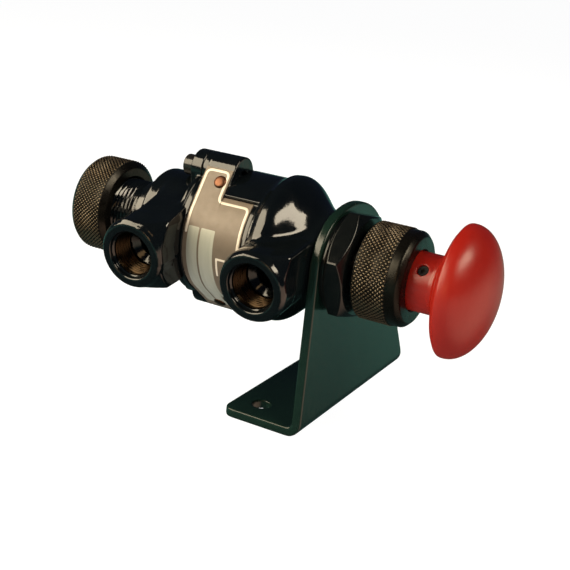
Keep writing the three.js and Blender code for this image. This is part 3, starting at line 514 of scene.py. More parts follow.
def bracket_field(p):
    x, y, z = p.T
    bottom = -AXIS_HEIGHT
    bend = (BRACKET_X - BEND_R, bottom + BEND_R + SHEET)
    section = [(FOOT_FRONT_X, bottom)]
    section += arc(bend, BEND_R + SHEET, -math.pi / 2, 0, 12)
    section += [(BRACKET_X + SHEET, 40), (BRACKET_X, 40)]
    section += arc(bend, BEND_R, 0, -math.pi / 2, 12)
    section += [(FOOT_FRONT_X, bottom + SHEET)]
    top_r = BRACKET_FRONT_R + math.hypot(TOP_ARC_Y, TOP_ARC_DROP)
    meet = math.atan2(TOP_ARC_DROP, -TOP_ARC_Y)
    corner = (BRACKET_BACK_Y, bottom + BACK_EDGE_HEIGHT)
    reach = (corner[0] - TOP_ARC_Y, corner[1] + TOP_ARC_DROP)
    lean = math.atan2(reach[1], reach[0]) + math.acos(top_r / math.hypot(*reach))
    outline = [(-BRACKET_FRONT_R, bottom - 9), (BRACKET_BACK_Y, bottom - 9), (*corner, PLATE_CORNER_R)]
    outline += arc((TOP_ARC_Y, -TOP_ARC_DROP), top_r, lean, meet, 40)
    outline += arc((0, 0), BRACKET_FRONT_R, meet, math.pi, 24)
    outline = eased(outline, 6)
    d = cross(polygon_field(x, z, section), polygon_field(y, z, outline), SHEET_EDGE)
    plan = cornered_field(x, y, (FOOT_FRONT_X, -BRACKET_FRONT_R), (BRACKET_X + 30, BRACKET_BACK_Y),
                          (0.1, FOOT_CORNER_R, FOOT_CORNER_R, 0.1))
    d = cross(d, plan, SHEET_EDGE)
    d = cut(d, np.hypot(y, z) - NECK_R - THREAD_GAP, 0.4)
    for hole_y in (FOOT_HOLE_END - BRACKET_FRONT_R, BRACKET_BACK_Y - FOOT_HOLE_END):
        hole = np.hypot(x - FOOT_FRONT_X - FOOT_HOLE_INSET, y - hole_y) - FOOT_HOLE_R
        d = cut(d, np.maximum(hole, z + AXIS_HEIGHT - 20), 0.5)
    return d


def button_profile():
    points = [(BUTTON_NECK_START_X, PAST_AXIS), (BUTTON_NECK_START_X, BUTTON_NECK_R, 0.6),
              (BUTTON_FLARE_X - 2.6, BUTTON_NECK_R), (BUTTON_FLARE_X - 1.2, BUTTON_NECK_R + 0.35),
              (BUTTON_FLARE_X - 0.2, BUTTON_NECK_R + 1.3), (BUTTON_FLARE_X + 0.7, BUTTON_NECK_R + 3.4),
              (BUTTON_FLARE_X + 1.8, 19.2), (BUTTON_FLARE_X + 3.2, 22.8),
              (BUTTON_RIM_X - 0.4, BUTTON_RIM_R, 1.2)]
    dome_x = BUTTON_RIM_X + 0.9
    for t in np.linspace(0.02, 1, 45):
        a = t * math.pi / 2
        points.append((dome_x + (BUTTON_APEX_X - dome_x) * math.sin(a), BUTTON_RIM_R * math.cos(a)))
    return eased(points + [(BUTTON_APEX_X, PAST_AXIS)])


BUTTON_PROFILE = button_profile()


def button_field(p):
    x, y, z = p.T
    d = turned_field(p, BUTTON_PROFILE)
    d = cut(d, rod_field(p, BUTTON_NECK_START_X - 5, STEM_END_X, STEM_HOLE_R), BORE_EDGE)
    out = (-math.cos(SET_SCREW_ANGLE), math.sin(SET_SCREW_ANGLE))
    along = y * out[0] + z * out[1]
    off = np.hypot(x - SET_SCREW_X, y * out[1] - z * out[0])
    return cut(d, np.maximum(off - SET_SCREW_HOLE_R, 3 - along), HOLE_EDGE)


def lug_screw_field(p, side):
    x, y, z = p.T
    z = z - side * LUG_CENTRE_R
    off = np.hypot(y, z)
    head = LUG_START_X - SCREW_HEAD
    profile = eased([(head, PAST_AXIS), (head, SCREW_HEAD_R, 0.7), (LUG_START_X - 0.01, SCREW_HEAD_R),
                     (LUG_START_X, SCREW_SHANK_R), (LUG_START_X + SCREW_LENGTH, SCREW_SHANK_R, 0.5),
                     (LUG_START_X + SCREW_LENGTH, PAST_AXIS)])
    d = polygon_field(x, off, profile)
    key = np.full(x.shape, -1e9)
    for i in range(3):
        a = math.pi / 3 * i
        key = np.maximum(key, np.abs(y * math.cos(a) + z * math.sin(a)) - SCREW_KEY_R)
    return cut(d, np.maximum(key, x - head - SCREW_KEY_DEPTH), BORE_EDGE)


# Meshes


def mesh_object(name, points, faces, normals=None):
    mesh = bpy.data.meshes.new(name)
    mesh.from_pydata(points.tolist(), [], faces)
    mesh.polygons.foreach_set("use_smooth", [True] * len(mesh.polygons))
    if normals is None:
        mesh.set_sharp_from_angle(angle=SHARP_ANGLE)
    else:
        mesh.normals_split_custom_set_from_vertices(normals.tolist())
    mesh.update()
    piece = bpy.data.objects.new(name, mesh)
    bpy.context.scene.collection.objects.link(piece)
    return piece


def slope(field, p, reach=0.02):
    """Unit direction in which the field grows, from four samples around each point."""
    corners = np.array([(1, -1, -1), (-1, -1, 1), (-1, 1, -1), (1, 1, 1)], float)
    total = sum(c * field(p + c * reach)[:, None] for c in corners)
    return total / np.maximum(np.linalg.norm(total, axis=1, keepdims=True), 1e-12)


def skinned(name, field, low, high, step, place=body_place, turn=body_turn):
    """Closed skin on the zero level of a field: one point in every cell that the level crosses, drawn onto
    it along the field's slope, and one four-sided face across each cell edge that the level crosses."""
    low = np.array(low, float)
    blocks = np.ceil((np.array(high, float) - low) / (step * BLOCK)).astype(int)
    axes = [low[a] + step * BLOCK * (np.arange(blocks[a]) + 0.5) for a in range(3)]
    rough = field(np.stack(np.meshgrid(*axes, indexing="ij"), -1).reshape(-1, 3)).reshape(blocks)
    for axis in range(3):
        rough = np.repeat(rough, BLOCK, axis)
    near = np.argwhere(np.abs(rough) < step * BLOCK * 1.4)
    rough[tuple(near.T)] = field(low + step * (near + 0.5))
    inside = rough < 0
    count = np.zeros([n - 1 for n in inside.shape], np.int8)
    for i in (0, 1):
        for j in (0, 1):
            for k in (0, 1):
                count += inside[i:i + count.shape[0], j:j + count.shape[1], k:k + count.shape[2]]
    cells = np.argwhere((count > 0) & (count < 8))
    number = np.full(count.shape, -1, int)
    number[tuple(cells.T)] = np.arange(len(cells))
    centre = low + step * (cells + 1.0)
    p = centre.copy()
    for _ in range(5):
        p -= slope(field, p) * field(p)[:, None]
        p = centre + np.clip(p - centre, -0.6 * step, 0.6 * step)
    faces = []
    for axis in range(3):
        b, c = (axis + 1) % 3, (axis + 2) % 3
        ahead = np.roll(inside, -1, axis)
        changed = inside != ahead
        keep = [slice(1, -1)] * 3
        keep[axis] = slice(0, -1)
        where = np.argwhere(changed[tuple(keep)])
        where += [0 if a == axis else 1 for a in range(3)]
        quads = []
        for db, dc in ((-1, -1), (0, -1), (0, 0), (-1, 0)):
            cell = where.copy()
            cell[:, b] += db
            cell[:, c] += dc
            quads.append(number[tuple(cell.T)])
        quads = np.stack(quads, 1)
        outward = inside[tuple(where.T)]
        faces.append(np.where(outward[:, None], quads, quads[:, ::-1]))
    faces = np.concatenate(faces)
    faces = faces[(faces >= 0).all(1)]
    return mesh_object(name, place(p), faces.tolist(), turn(slope(field, p)))


def ring_faces(rows, around, closed):
    """Faces between neighbouring rings; an open row of rings gets a face at each end."""
    faces = []
    for i in range(rows if closed else rows - 1):
        a, b = i * around, (i + 1) % rows * around
        for k in range(around):
            n = (k + 1) % around
            faces.append((a + k, b + k, b + n, a + n))
    if not closed:
        faces.append(tuple(range(around)))
        faces.append(tuple(reversed(range((rows - 1) * around, rows * around))))
    return faces


def ringed(name, stations, radii, place, closed, axis=None, height=None):
    """Rings of points about an axis: stations and radii are arrays of rows by points around."""
    rows, around = radii.shape
    turn = np.linspace(0, 2 * math.pi, around, endpoint=False)[None, :]
    axis = axis or (lambda s, r, a: np.stack([s, -r * np.cos(a), r * np.sin(a)], -1))
    points = axis(stations, radii, np.broadcast_to(turn, radii.shape)).reshape(-1, 3)
    piece = mesh_object(name, place(points), ring_faces(rows, around, closed))
    mesh = piece.data
    if signed_volume(mesh) < 0:
        mesh.flip_normals()
    if height is not None:
        layer = mesh.attributes.new("height", "FLOAT", "POINT")
        layer.data.foreach_set("value", height.astype(np.float32).ravel())
    return piece


def signed_volume(mesh):
    mesh.calc_loop_triangles()
    corners = np.zeros(len(mesh.vertices) * 3)
    mesh.vertices.foreach_get("co", corners)
    corners = corners.reshape(-1, 3)
    sides = np.zeros(len(mesh.loop_triangles) * 3, int)
    mesh.loop_triangles.foreach_get("vertices", sides)
    a, b, c = (corners[sides.reshape(-1, 3)[:, i]] for i in range(3))
    return float(np.einsum("ij,ij->i", a, np.cross(b, c)).sum())


def turned_piece(name, profile, place, around=LATHE_SIDES, axis=None):
    """Lathe piece; the profile starts and ends near the axis, or closes on itself."""
    profile = np.array(profile, float)
    closed = profile[:, 1].min() > 0.5
    stations = np.repeat(profile[:, :1], around, 1)
    radii = np.repeat(np.maximum(profile[:, 1:], NEAR_AXIS), around, 1)
    return ringed(name, stations, radii, place, closed, axis)


def knurled_piece(name, place, before, knurl, after, radius, teeth, closed):
    """Turned piece whose outside has two crossing helical sets of grooves from knurl[0] to knurl[1]."""
    around = teeth * ROWS_PER_PITCH
    pitch = 2 * math.pi * radius / teeth
    rows = int((knurl[1] - knurl[0]) / pitch * ROWS_PER_PITCH)
    inner = np.linspace(knurl[0], knurl[1], rows)
    turn = np.linspace(0, teeth, around, endpoint=False)[None, :]

    def groove(t):
        return 1 - 2 * np.abs(t - np.floor(t) - 0.5)

    lean = (inner[:, None] - knurl[0]) / pitch
    crest = np.minimum(1, 1.5 * np.minimum(groove(turn + lean), groove(turn - lean)))
    fade = np.clip(np.minimum(inner - knurl[0], knurl[1] - inner) / 0.4, 0, 1)[:, None]
    crest = crest * fade
    before_x, before_r = (np.repeat(column[:, None], around, 1) for column in np.array(before).T)
    after_x, after_r = (np.repeat(column[:, None], around, 1) for column in np.array(after).T)
    stations = np.concatenate([before_x, np.repeat(inner[:, None], around, 1), after_x])
    radii = np.concatenate([before_r, radius - KNURL_DEPTH * (1 - crest), after_r])
    # The crest height also sets where the knurl's material puts its pale crests, partly wear and partly
    # painted highlight.
    height = np.concatenate([np.zeros_like(before_r), crest, np.zeros_like(after_r)])
    return ringed(name, stations, np.maximum(radii, NEAR_AXIS), place, closed, height=height)


def threaded_sleeve(name, start, end, root, crest, pitch, place, axis=None):
    """Thin threaded layer; root is the radius at its back, crest the radius that the ridges reach."""
    around = THREAD_SIDES
    rows = int((end - start) / pitch * ROWS_PER_PITCH)
    line = np.linspace(start, end, rows)[:, None]
    turn = np.linspace(0, 1, around, endpoint=False)[None, :]
    phase = line / pitch - turn
    ridge = 1 - np.abs(2 * (phase - np.floor(phase)) - 1)
    ridge = np.clip(1.5 * ridge - 0.25, 0, 1)
    fade = np.clip(np.minimum(line - start, end - line) / pitch, 0, 1)
    depth = NECK_THREAD_DEPTH if crest > root else PORT_THREAD_DEPTH
    base = crest - depth if crest > root else crest + depth
    face = base + (crest - base) * ridge * fade
    stations = np.concatenate([np.repeat(line, around, 1), np.repeat(line[::-1], around, 1)])
    radii = np.concatenate([face, np.full((rows, around), root)])
    return ringed(name, stations, radii, place, True, axis)


def port_axis(centre, side):
    return lambda s, r, a: np.stack([centre + r * np.cos(a), side * s, r * np.sin(a)], -1)


# Nameplate


def path_distance(u, v, points):
    best = np.full(u.shape, 1e9)
    for (ax, ay), (bx, by) in zip(points, points[1:]):
        ex, ey = bx - ax, by - ay
        t = np.clip(((u - ax) * ex + (v - ay) * ey) / max(ex * ex + ey * ey, 1e-9), 0, 1)
        best = np.minimum(best, np.hypot(u - ax - ex * t, v - ay - ey * t))
    return best


def plate_point(x, s, h):
    """From the unrolled plate (station, way up from the middle, height) to the valve's axes."""
    up = np.abs(s)
    on_round = (up <= PLATE_ROUND_ALONG) | (x > PLATE_STRIP_END_X + 0.2)
    angle = np.where(on_round, up / SEAT_R, FLANK_FACING)
    along = np.where(on_round, 0, up - PLATE_ROUND_ALONG)
    radius = SEAT_R + h
    y = -radius * np.cos(angle) + along * math.sin(FLANK_FACING)
    z = radius * np.sin(angle) + along * math.cos(FLANK_FACING)
    return np.stack([x, y, np.sign(s) * z], -1)


def border_line():
    """The printed frame line on the unrolled plate, with rounded corners."""
    left, notch, right = -11.2, -1.5, 12.2
    top, tab_top = 34.6, 22.2
    r = FRAME_CORNER_R
    return eased([(left, 8.6), (left, top, r), (notch, top, r), (notch, tab_top, r), (right, tab_top, r),
                  (right, -4)], 8)


def nameplate():
    across = np.arange(RIM_END_X, PLATE_TAB_END_X, PLATE_STEP_ACROSS)
    along = np.arange(0, PLATE_END_ALONG, PLATE_STEP_ALONG)
    xs = np.unique(np.concatenate([across, [PLATE_STRIP_END_X, PAD_START_X]]))
    half = np.unique(np.concatenate([along, [TAB_NOTCH_ALONG, PLATE_TAB_ALONG, PLATE_END_ALONG]]))
    ss = np.concatenate([-half[:0:-1], half])
    x, s = np.meshgrid(xs, ss, indexing="ij")
    frame_line = FRAME_LINE_HALF - path_distance(x, s, border_line())
    small = MARK_HALF - path_distance(x, s, CORNER_MARK)
    border = np.maximum(frame_line, small)
    field = np.full(x.shape, -9.0)
    for a, b in FIELDS:
        field = np.maximum(field, -cornered_field(x, s, (a, FIELD_END), (b, FIELD_TOP), (0.5,) * 4))
    raised = PLATE_RELIEF * np.clip(border / PRINT_RAMP + 0.5, 0, 1)
    raised = raised + 0.5 * PLATE_RELIEF * np.clip(field / PRINT_RAMP + 0.5, 0, 1)
    mid_x, mid_s = (xs[:-1] + xs[1:]) / 2, np.abs((ss[:-1] + ss[1:]) / 2)
    keep = (mid_s[None, :] < TAB_NOTCH_ALONG) | (mid_x[:, None] < PLATE_STRIP_END_X)
    keep |= (mid_x[:, None] > PAD_START_X) & (mid_s[None, :] < PLATE_TAB_ALONG)
    number = np.arange(x.size).reshape(x.shape)
    corners = [number[:-1, :-1], number[1:, :-1], number[1:, 1:], number[:-1, 1:]]
    top = np.stack(corners, -1)[keep]
    edges = {}
    for quad in top.tolist():
        for a, b in zip(quad, quad[1:] + quad[:1]):
            edges[(a, b)] = edges.get((a, b), 0) + 1
    rim = [(a, b) for a, b in edges if (b, a) not in edges]
    on_rim = np.zeros(x.size, bool)
    on_rim[[a for a, _ in rim]] = True
    high = plate_point(x, s, PLATE_THICK + raised).reshape(-1, 3)
    low = plate_point(x, s, np.zeros_like(x)).reshape(-1, 3)
    mid = plate_point(x, s, np.full_like(x, PLATE_THICK * 0.7)).reshape(-1, 3)
    used = np.unique(top)
    renumber = np.full(x.size, -1)
    renumber[used] = np.arange(len(used))
    rim_used = np.array(sorted({a for a, _ in rim}))
    rim_number = np.full(x.size, -1)
    rim_number[rim_used] = np.arange(len(rim_used)) + 2 * len(used)
    faces = renumber[top].tolist() + (renumber[top][:, ::-1] + len(used)).tolist()
    for a, b in rim:
        faces.append([renumber[b], renumber[a], rim_number[a], rim_number[b]])
        faces.append([rim_number[b], rim_number[a], renumber[a] + len(used), renumber[b] + len(used)])
    points = np.concatenate([high[used], low[used], mid[rim_used]])
    piece = mesh_object("nameplate_skin", body_place(points), faces)
    if signed_volume(piece.data) < 0:
        piece.data.flip_normals()
    bare = np.full(len(used) + len(rim_used), -1.0)
    for label, values in (("border", border), ("field", field)):
        layer = piece.data.attributes.new(label, "FLOAT", "POINT")
        values = np.concatenate([values.reshape(-1)[used], bare])
        layer.data.foreach_set("value", values.astype(np.float32))
    return piece


def rivet(name, side):
    """Domed head on the plate, with a thin burr ring, and its shank through the plate."""
    n = np.array([0, -math.cos(FLANK_FACING), side * math.sin(FLANK_FACING)])
    t = np.array([0, math.sin(FLANK_FACING), side * math.cos(FLANK_FACING)])
    foot = np.array([RIVET_X, 0, 0]) + n * (SEAT_R + PLATE_THICK) + t * RIVET_ALONG
    profile = [(-RIVET_SHANK, NEAR_AXIS), (-RIVET_SHANK, RIVET_SHANK_R), (0, RIVET_SHANK_R), (0, RIVET_R)]
    for a in np.linspace(0.12, 1.5, 14):
        profile.append((RIVET_HEAD * math.sin(a) ** 0.9, RIVET_R * math.cos(a) ** 0.75))
    axis = lambda s, r, a: (foot + s[..., None] * n + (r * np.cos(a))[..., None] * np.array([1.0, 0, 0])
                            + (r * np.sin(a))[..., None] * t)
    return turned_piece(name, profile, body_place, 48, axis)


# Materials


class Surface:
    """Principled surface whose colour, roughness and bump come from noise in the piece's own space."""

    def __init__(self, name, roughness, **sockets):
        self.material = bpy.data.materials.new(name)
        self.material.use_nodes = True
        self.nodes = self.material.node_tree.nodes
        self.links = self.material.node_tree.links
        self.shader = self.nodes["Principled BSDF"]
        self.coordinates = self.nodes.new("ShaderNodeTexCoord").outputs["Object"]
        low, high, scale = roughness
        spots = self.noise(scale, 4)
        self.links.new(self.ranged(spots, 0.3, 0.7, low, high), self.shader.inputs["Roughness"])
        for label, value in sockets.items():
            self.shader.inputs[label.replace("_", " ")].default_value = value

    def noise(self, scale, detail, stretch=None):
        node = self.nodes.new("ShaderNodeTexNoise")
        node.inputs["Scale"].default_value = scale
        node.inputs["Detail"].default_value = detail
        source = self.coordinates
        if stretch:
            mapping = self.nodes.new("ShaderNodeMapping")
            mapping.inputs["Scale"].default_value = stretch
            self.links.new(self.coordinates, mapping.inputs["Vector"])
            source = mapping.outputs["Vector"]
        self.links.new(source, node.inputs["Vector"])
        return node.outputs["Fac"]

    def ranged(self, value, from_low, from_high, low, high):
        node = self.nodes.new("ShaderNodeMapRange")
        self.links.new(value, node.inputs["Value"])
        for end, source, result in (("Min", from_low, low), ("Max", from_high, high)):
            node.inputs["From " + end].default_value = source
            node.inputs["To " + end].default_value = result
        return node.outputs["Result"]

    def mixed(self, share, a, b):
        node = self.nodes.new("ShaderNodeMix")
        node.data_type = "RGBA"
        self.links.new(share, node.inputs["Factor"])
        for index, colour in ((6, a), (7, b)):
            if isinstance(colour, tuple):
                node.inputs[index].default_value = (*colour, 1)
            else:
                self.links.new(colour, node.inputs[index])
        return node.outputs[2]

    def attribute(self, name):
        node = self.nodes.new("ShaderNodeAttribute")
        node.attribute_name = name
        return node.outputs["Fac"]

    def colour(self, result):
        self.links.new(result, self.shader.inputs["Base Color"])
        return self

    def bump(self, *layers):
        """Each layer is a height, its strength and its distance in metres."""
        normal = None
        for height, strength, distance in layers:
            node = self.nodes.new("ShaderNodeBump")
            node.inputs["Strength"].default_value = strength
            node.inputs["Distance"].default_value = distance
            self.links.new(height, node.inputs["Height"])
            if normal:
                self.links.new(normal, node.inputs["Normal"])
            normal = node.outputs["Normal"]
        self.links.new(normal, self.shader.inputs["Normal"])
        return self


def enamel():
    s = Surface("black_enamel", (0.07, 0.15, 180), IOR=1.5)
    s.colour(s.mixed(s.noise(90, 5), (0.0012, 0.0020, 0.0028), (0.0035, 0.0050, 0.0058)))
    return s.bump((s.noise(140, 3), 0.25, 0.0006), (s.noise(900, 2), 0.12, 0.00012)).material


def satin_black():
    s = Surface("bracket_black", (0.17, 0.26, 400), IOR=1.45)
    # The green tint of this black is a painted reflection of green surroundings.
    s.colour(s.mixed(s.noise(160, 6), (0.003, 0.010, 0.007), (0.006, 0.018, 0.013)))
    return s.bump((s.noise(2600, 3), 0.22, 0.00009), (s.noise(60, 2), 0.1, 0.0008)).material


def nut_black():
    s = Surface("nut_black", (0.10, 0.18, 260), IOR=1.38)
    s.colour(s.mixed(s.noise(220, 5), (0.0015, 0.0022, 0.0024), (0.005, 0.006, 0.006)))
    return s.bump((s.noise(1800, 3, (0.3, 1, 1)), 0.2, 0.0001)).material


def knurl_metal():
    s = Surface("knurled_metal", (0.22, 0.36, 300), Metallic=0.8)
    # The crests get a pale bronze that is partly wear and partly a painted highlight; the rest stays
    # near-black.
    crests = s.ranged(s.attribute("height"), 0.35, 1, 0, 1)
    crest_wear_and_highlight = s.mixed(crests, (0.010, 0.009, 0.007), (0.19, 0.145, 0.095))
    s.colour(s.mixed(s.ranged(s.noise(120, 4), 0.35, 0.75, 0, 0.4), crest_wear_and_highlight, (0.02, 0.018, 0.015)))
    return s.bump((s.noise(2400, 3), 0.25, 0.00008)).material


def red_plastic():
    s = Surface("button_red", (0.26, 0.36, 70), IOR=1.42,
                Subsurface_Weight=0.04, Subsurface_Scale=0.002)
    s.colour(s.mixed(s.noise(45, 4), (0.235, 0.007, 0.004), (0.29, 0.012, 0.006)))
    return s.bump((s.noise(260, 3), 0.12, 0.0003), (s.noise(3000, 2), 0.08, 0.00004)).material


def plate_metal():
    s = Surface("plate_metal", (0.36, 0.5, 500), Metallic=0.1)
    ground = s.mixed(s.noise(300, 5), (0.115, 0.088, 0.062), (0.155, 0.120, 0.088))
    silver = s.mixed(s.noise(500, 4, (1, 0.1, 0.1)), (0.24, 0.25, 0.20), (0.38, 0.38, 0.32))
    print_edge = s.ranged(s.attribute("border"), -0.05, 0.05, 0, 1)
    field_edge = s.ranged(s.attribute("field"), -0.05, 0.05, 0, 1)
    margin = s.mixed(field_edge, ground, silver)
    s.colour(s.mixed(print_edge, margin, (0.62, 0.56, 0.47)))
    return s.bump((s.noise(1500, 4, (1, 0.15, 0.15)), 0.18, 0.00006)).material


def metal(name, dark, light, roughness, scale=240, stretch=None, metallic=1.0):
    s = Surface(name, (*roughness, scale), Metallic=metallic)
    s.colour(s.mixed(s.noise(scale, 4), dark, light))
    return s.bump((s.noise(1600, 3, stretch), 0.2, 0.00007)).material


def rubber():
    s = Surface("seal_rubber", (0.6, 0.8, 400), IOR=1.5)
    s.colour(s.mixed(s.noise(300, 4), (0.010, 0.010, 0.010), (0.022, 0.022, 0.021)))
    return s.bump((s.noise(1200, 3), 0.2, 0.0001)).material


def paper(name, glow):
    s = Surface(name, (0.9, 0.95, 20), IOR=1.2)
    s.colour(s.mixed(s.noise(8, 2), (0.16, 0.16, 0.16), (0.18, 0.18, 0.18)))
    s.shader.inputs["Emission Color"].default_value = (1, 1, 1, 1)
    s.shader.inputs["Emission Strength"].default_value = glow
    return s.material


def dress(piece, material):
    piece.data.materials.clear()
    piece.data.materials.append(material)


ENAMEL = enamel()
SATIN = satin_black()
NUT = nut_black()
KNURL = knurl_metal()
RED = red_plastic()
PLATE = plate_metal()
COPPER = metal("rivet_copper", (0.09, 0.04, 0.022), (0.16, 0.075, 0.045), (0.3, 0.45))
STEEL = metal("machined_steel", (0.42, 0.43, 0.44), (0.58, 0.59, 0.60), (0.2, 0.32), 300, (0.1, 1, 1))
BRONZE = metal("bearing_bronze", (0.36, 0.22, 0.08), (0.52, 0.34, 0.15), (0.24, 0.38), 300, (0.1, 1, 1))
OXIDE = metal("screw_oxide", (0.006, 0.006, 0.006), (0.015, 0.014, 0.012), (0.14, 0.26), 500, None, 0.0)
THREAD = metal("thread_metal", (0.008, 0.006, 0.004), (0.045, 0.028, 0.015), (0.22, 0.36), 500)
RUBBER = rubber()

NODE_FINISH = {
    "end_cap_seal": RUBBER, "spring_disc": STEEL, "joint_seal": RUBBER, "gland_bush": BRONZE,
    "stem_wiper": RUBBER, "spool": STEEL, "stem": STEEL, "stop_ring": STEEL, "spring_seat": STEEL,
    "button_set_screw": OXIDE, "seal_retainer": STEEL,
    "seal_cage_1": BRONZE, "seal_cage_2": BRONZE, "seal_cage_3": BRONZE,
    "spool_seal_1": RUBBER, "spool_seal_2": RUBBER, "spool_seal_3": RUBBER, "spool_seal_4": RUBBER,
}


# Pieces


def add(piece, body, material, slot, *nodes):
    dress(piece, material)
    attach(piece, body)
    if nodes:
        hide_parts(*nodes)
    return piece


def castings():
    body = skinned("main_body_skin", body_field, (-16, -42, -36), (64, 33, 36), CASTING_STEP)
    add(body, "valve_body", ENAMEL, "black_enamel", "main_body")
    head = skinned("left_head_skin", head_field, (-66, -42, -36), (-10, 30, 36), CASTING_STEP)
    add(head, "valve_body", ENAMEL, "black_enamel", "left_head")
    neck = NECK_R - NECK_THREAD_DEPTH
    sleeves = [
        threaded_sleeve("left_neck_thread", LEFT_NECK_END_X + 0.5, UNDERCUT_START_X, neck - 0.3, NECK_R,
                        NECK_PITCH, body_place),
        threaded_sleeve("right_neck_thread", BRACKET_X + SHEET + 0.4, RIGHT_NECK_END_X - 0.5, neck - 0.3,
                        NECK_R, NECK_PITCH, body_place),
    ]
    for sleeve in sleeves:
        add(sleeve, "valve_body", ENAMEL, "black_enamel")
    bore = PORT_BORE_R + PORT_THREAD_DEPTH
    for label, centre, reach, depth, side in (("left", -PORT_X, PORT_REACH, PORT_DEPTH, -1),
                                              ("right", PORT_X, PORT_REACH, PORT_DEPTH, -1),
                                              ("rear", 0, REAR_PORT_REACH, REAR_PORT_DEPTH, 1)):
        sleeve = threaded_sleeve(f"{label}_port_thread", reach - depth, reach - PORT_MOUTH_DEPTH - 0.8,
                                 bore + 0.3, PORT_BORE_R, PORT_PITCH, body_place, port_axis(centre, side))
        add(sleeve, "valve_body", THREAD, "black_enamel")


def turned_parts():
    bore = NECK_R + THREAD_GAP
    low = CAP_R - KNURL_DEPTH
    before = eased([(CAP_BACK_X, NEAR_AXIS), (CAP_BACK_X, 18.5, 0.5), (CAP_BACK_X + 1.6, low + 0.1)])
    after = eased([(CAP_KNURL_END_X, low), (CAP_KNURL_END_X + 0.2, low - 0.2), (CAP_FRONT_X, 17.4, 0.5),
                   (CAP_FRONT_X, bore + 0.8), (CAP_FRONT_X - 0.8, bore), (CAP_SEAL_X, bore),
                   (CAP_SEAL_X, CAP_POCKET_R), (CAP_FLOOR_X, CAP_POCKET_R), (CAP_FLOOR_X, NEAR_AXIS)])
    cap = knurled_piece("end_cap_skin", body_place, before, (CAP_BACK_X + 1.7, CAP_KNURL_END_X), after,
                        CAP_R, CAP_TEETH, False)
    add(cap, "valve_body", KNURL, "cap_bronze", "end_cap")
    low = COLLAR_R - KNURL_DEPTH
    step = RIGHT_NECK_END_X + 1.2
    before = eased([(step, COLLAR_HOLE_R), (step, bore), (COLLAR_START_X + 0.7, bore),
                    (COLLAR_START_X, bore + 0.7), (COLLAR_START_X, 17.8, 0.4),
                    (COLLAR_KNURL_X - 0.05, low)])
    after = eased([(COLLAR_KNURL_END_X + 0.05, low), (COLLAR_END_X - 1.9, low, 0.8),
                   (COLLAR_END_X, 16.6, 0.5), (COLLAR_END_X, COLLAR_HOLE_R + 0.5),
                   (COLLAR_END_X - 0.5, COLLAR_HOLE_R)])
    collar = knurled_piece("collar_skin", level_place, before, (COLLAR_KNURL_X, COLLAR_KNURL_END_X), after,
                           COLLAR_R, COLLAR_TEETH, True)
    add(collar, "valve_body", KNURL, "cap_bronze", "knurled_collar")
    start = BRACKET_X + SHEET
    washer = turned_piece("panel_washer_skin", eased([
        (start, bore), (start, WASHER_R, 0.3), (start + WASHER_THICK, WASHER_R, 0.4),
        (start + WASHER_THICK, bore)]), level_place)
    add(washer, "valve_body", NUT, "nut_black", "panel_washer")
    nut = skinned("panel_nut_skin", nut_field, (45, -23, -23), (55, 23, 23), NUT_STEP, level_place,
                  level_turn)
    add(nut, "valve_body", NUT, "nut_black", "panel_nut")


def small_parts():
    for label, side in (("top", 1), ("bottom", -1)):
        z = side * LUG_CENTRE_R
        screw = skinned(f"lug_screw_{label}_skin", lambda p, s=side: lug_screw_field(p, s),
                        (-27, -5, z - 5), (-7, 5, z + 5), SCREW_STEP)
        add(screw, "valve_body", OXIDE, "machined_steel", f"lug_screw_{label}")
        add(rivet(f"plate_rivet_{label}_skin", side), "valve_body", COPPER, "rivet_copper",
            f"plate_rivet_{label}")
    add(nameplate(), "valve_body", PLATE, "plate_metal", "nameplate")


def return_spring():
    """Round wire with closed end turns that bears on its fixed disc, built at the one length of the return
    spring part.
    """
    low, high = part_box("return_spring")
    start, end = (corner[0] * 1000 + FOOT_MID_X for corner in (low, high))
    rise = end - start - 2 * SPRING_WIRE_R
    turn = np.linspace(0, SPRING_TURNS, SPRING_TURNS * 36 + 1)
    station = start + SPRING_WIRE_R + np.interp(turn, [0, 1, SPRING_TURNS - 1, SPRING_TURNS],
                                                [0, SPRING_END_RISE, rise - SPRING_END_RISE, rise])
    angle = 2 * math.pi * turn
    out = np.stack([np.zeros_like(angle), np.cos(angle), np.sin(angle)], 1)
    path = SPRING_MEAN_R * out + np.stack([station, 0 * station, 0 * station], 1)
    along = np.gradient(path, axis=0)
    along /= np.linalg.norm(along, axis=1, keepdims=True)
    side = np.cross(along, out)
    ring = np.linspace(0, 2 * math.pi, WIRE_SIDES, endpoint=False)[None, :, None]
    points = path[:, None] + SPRING_WIRE_R * (np.cos(ring) * out[:, None] + np.sin(ring) * side[:, None])
    coil = mesh_object("return_spring_coil", body_place(points.reshape(-1, 3)),
                       ring_faces(len(path), WIRE_SIDES, False))
    if signed_volume(coil.data) < 0:
        coil.data.flip_normals()
    add(coil, "valve_body", STEEL, "machined_steel", "return_spring")
    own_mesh(coil)


def bracket_and_button():
    bracket = skinned("bracket_skin", bracket_field, (8, -22, -70), (46, 83, 24), BRACKET_STEP, level_place,
                      level_turn)
    add(bracket, "valve_body", SATIN, "bracket_black", "mounting_bracket")
    button = skinned("button_skin", button_field, (71, -26.5, -26.5), (108, 26.5, 26.5), BUTTON_STEP)
    add(button, "plunger", RED, "button_red", "palm_button")


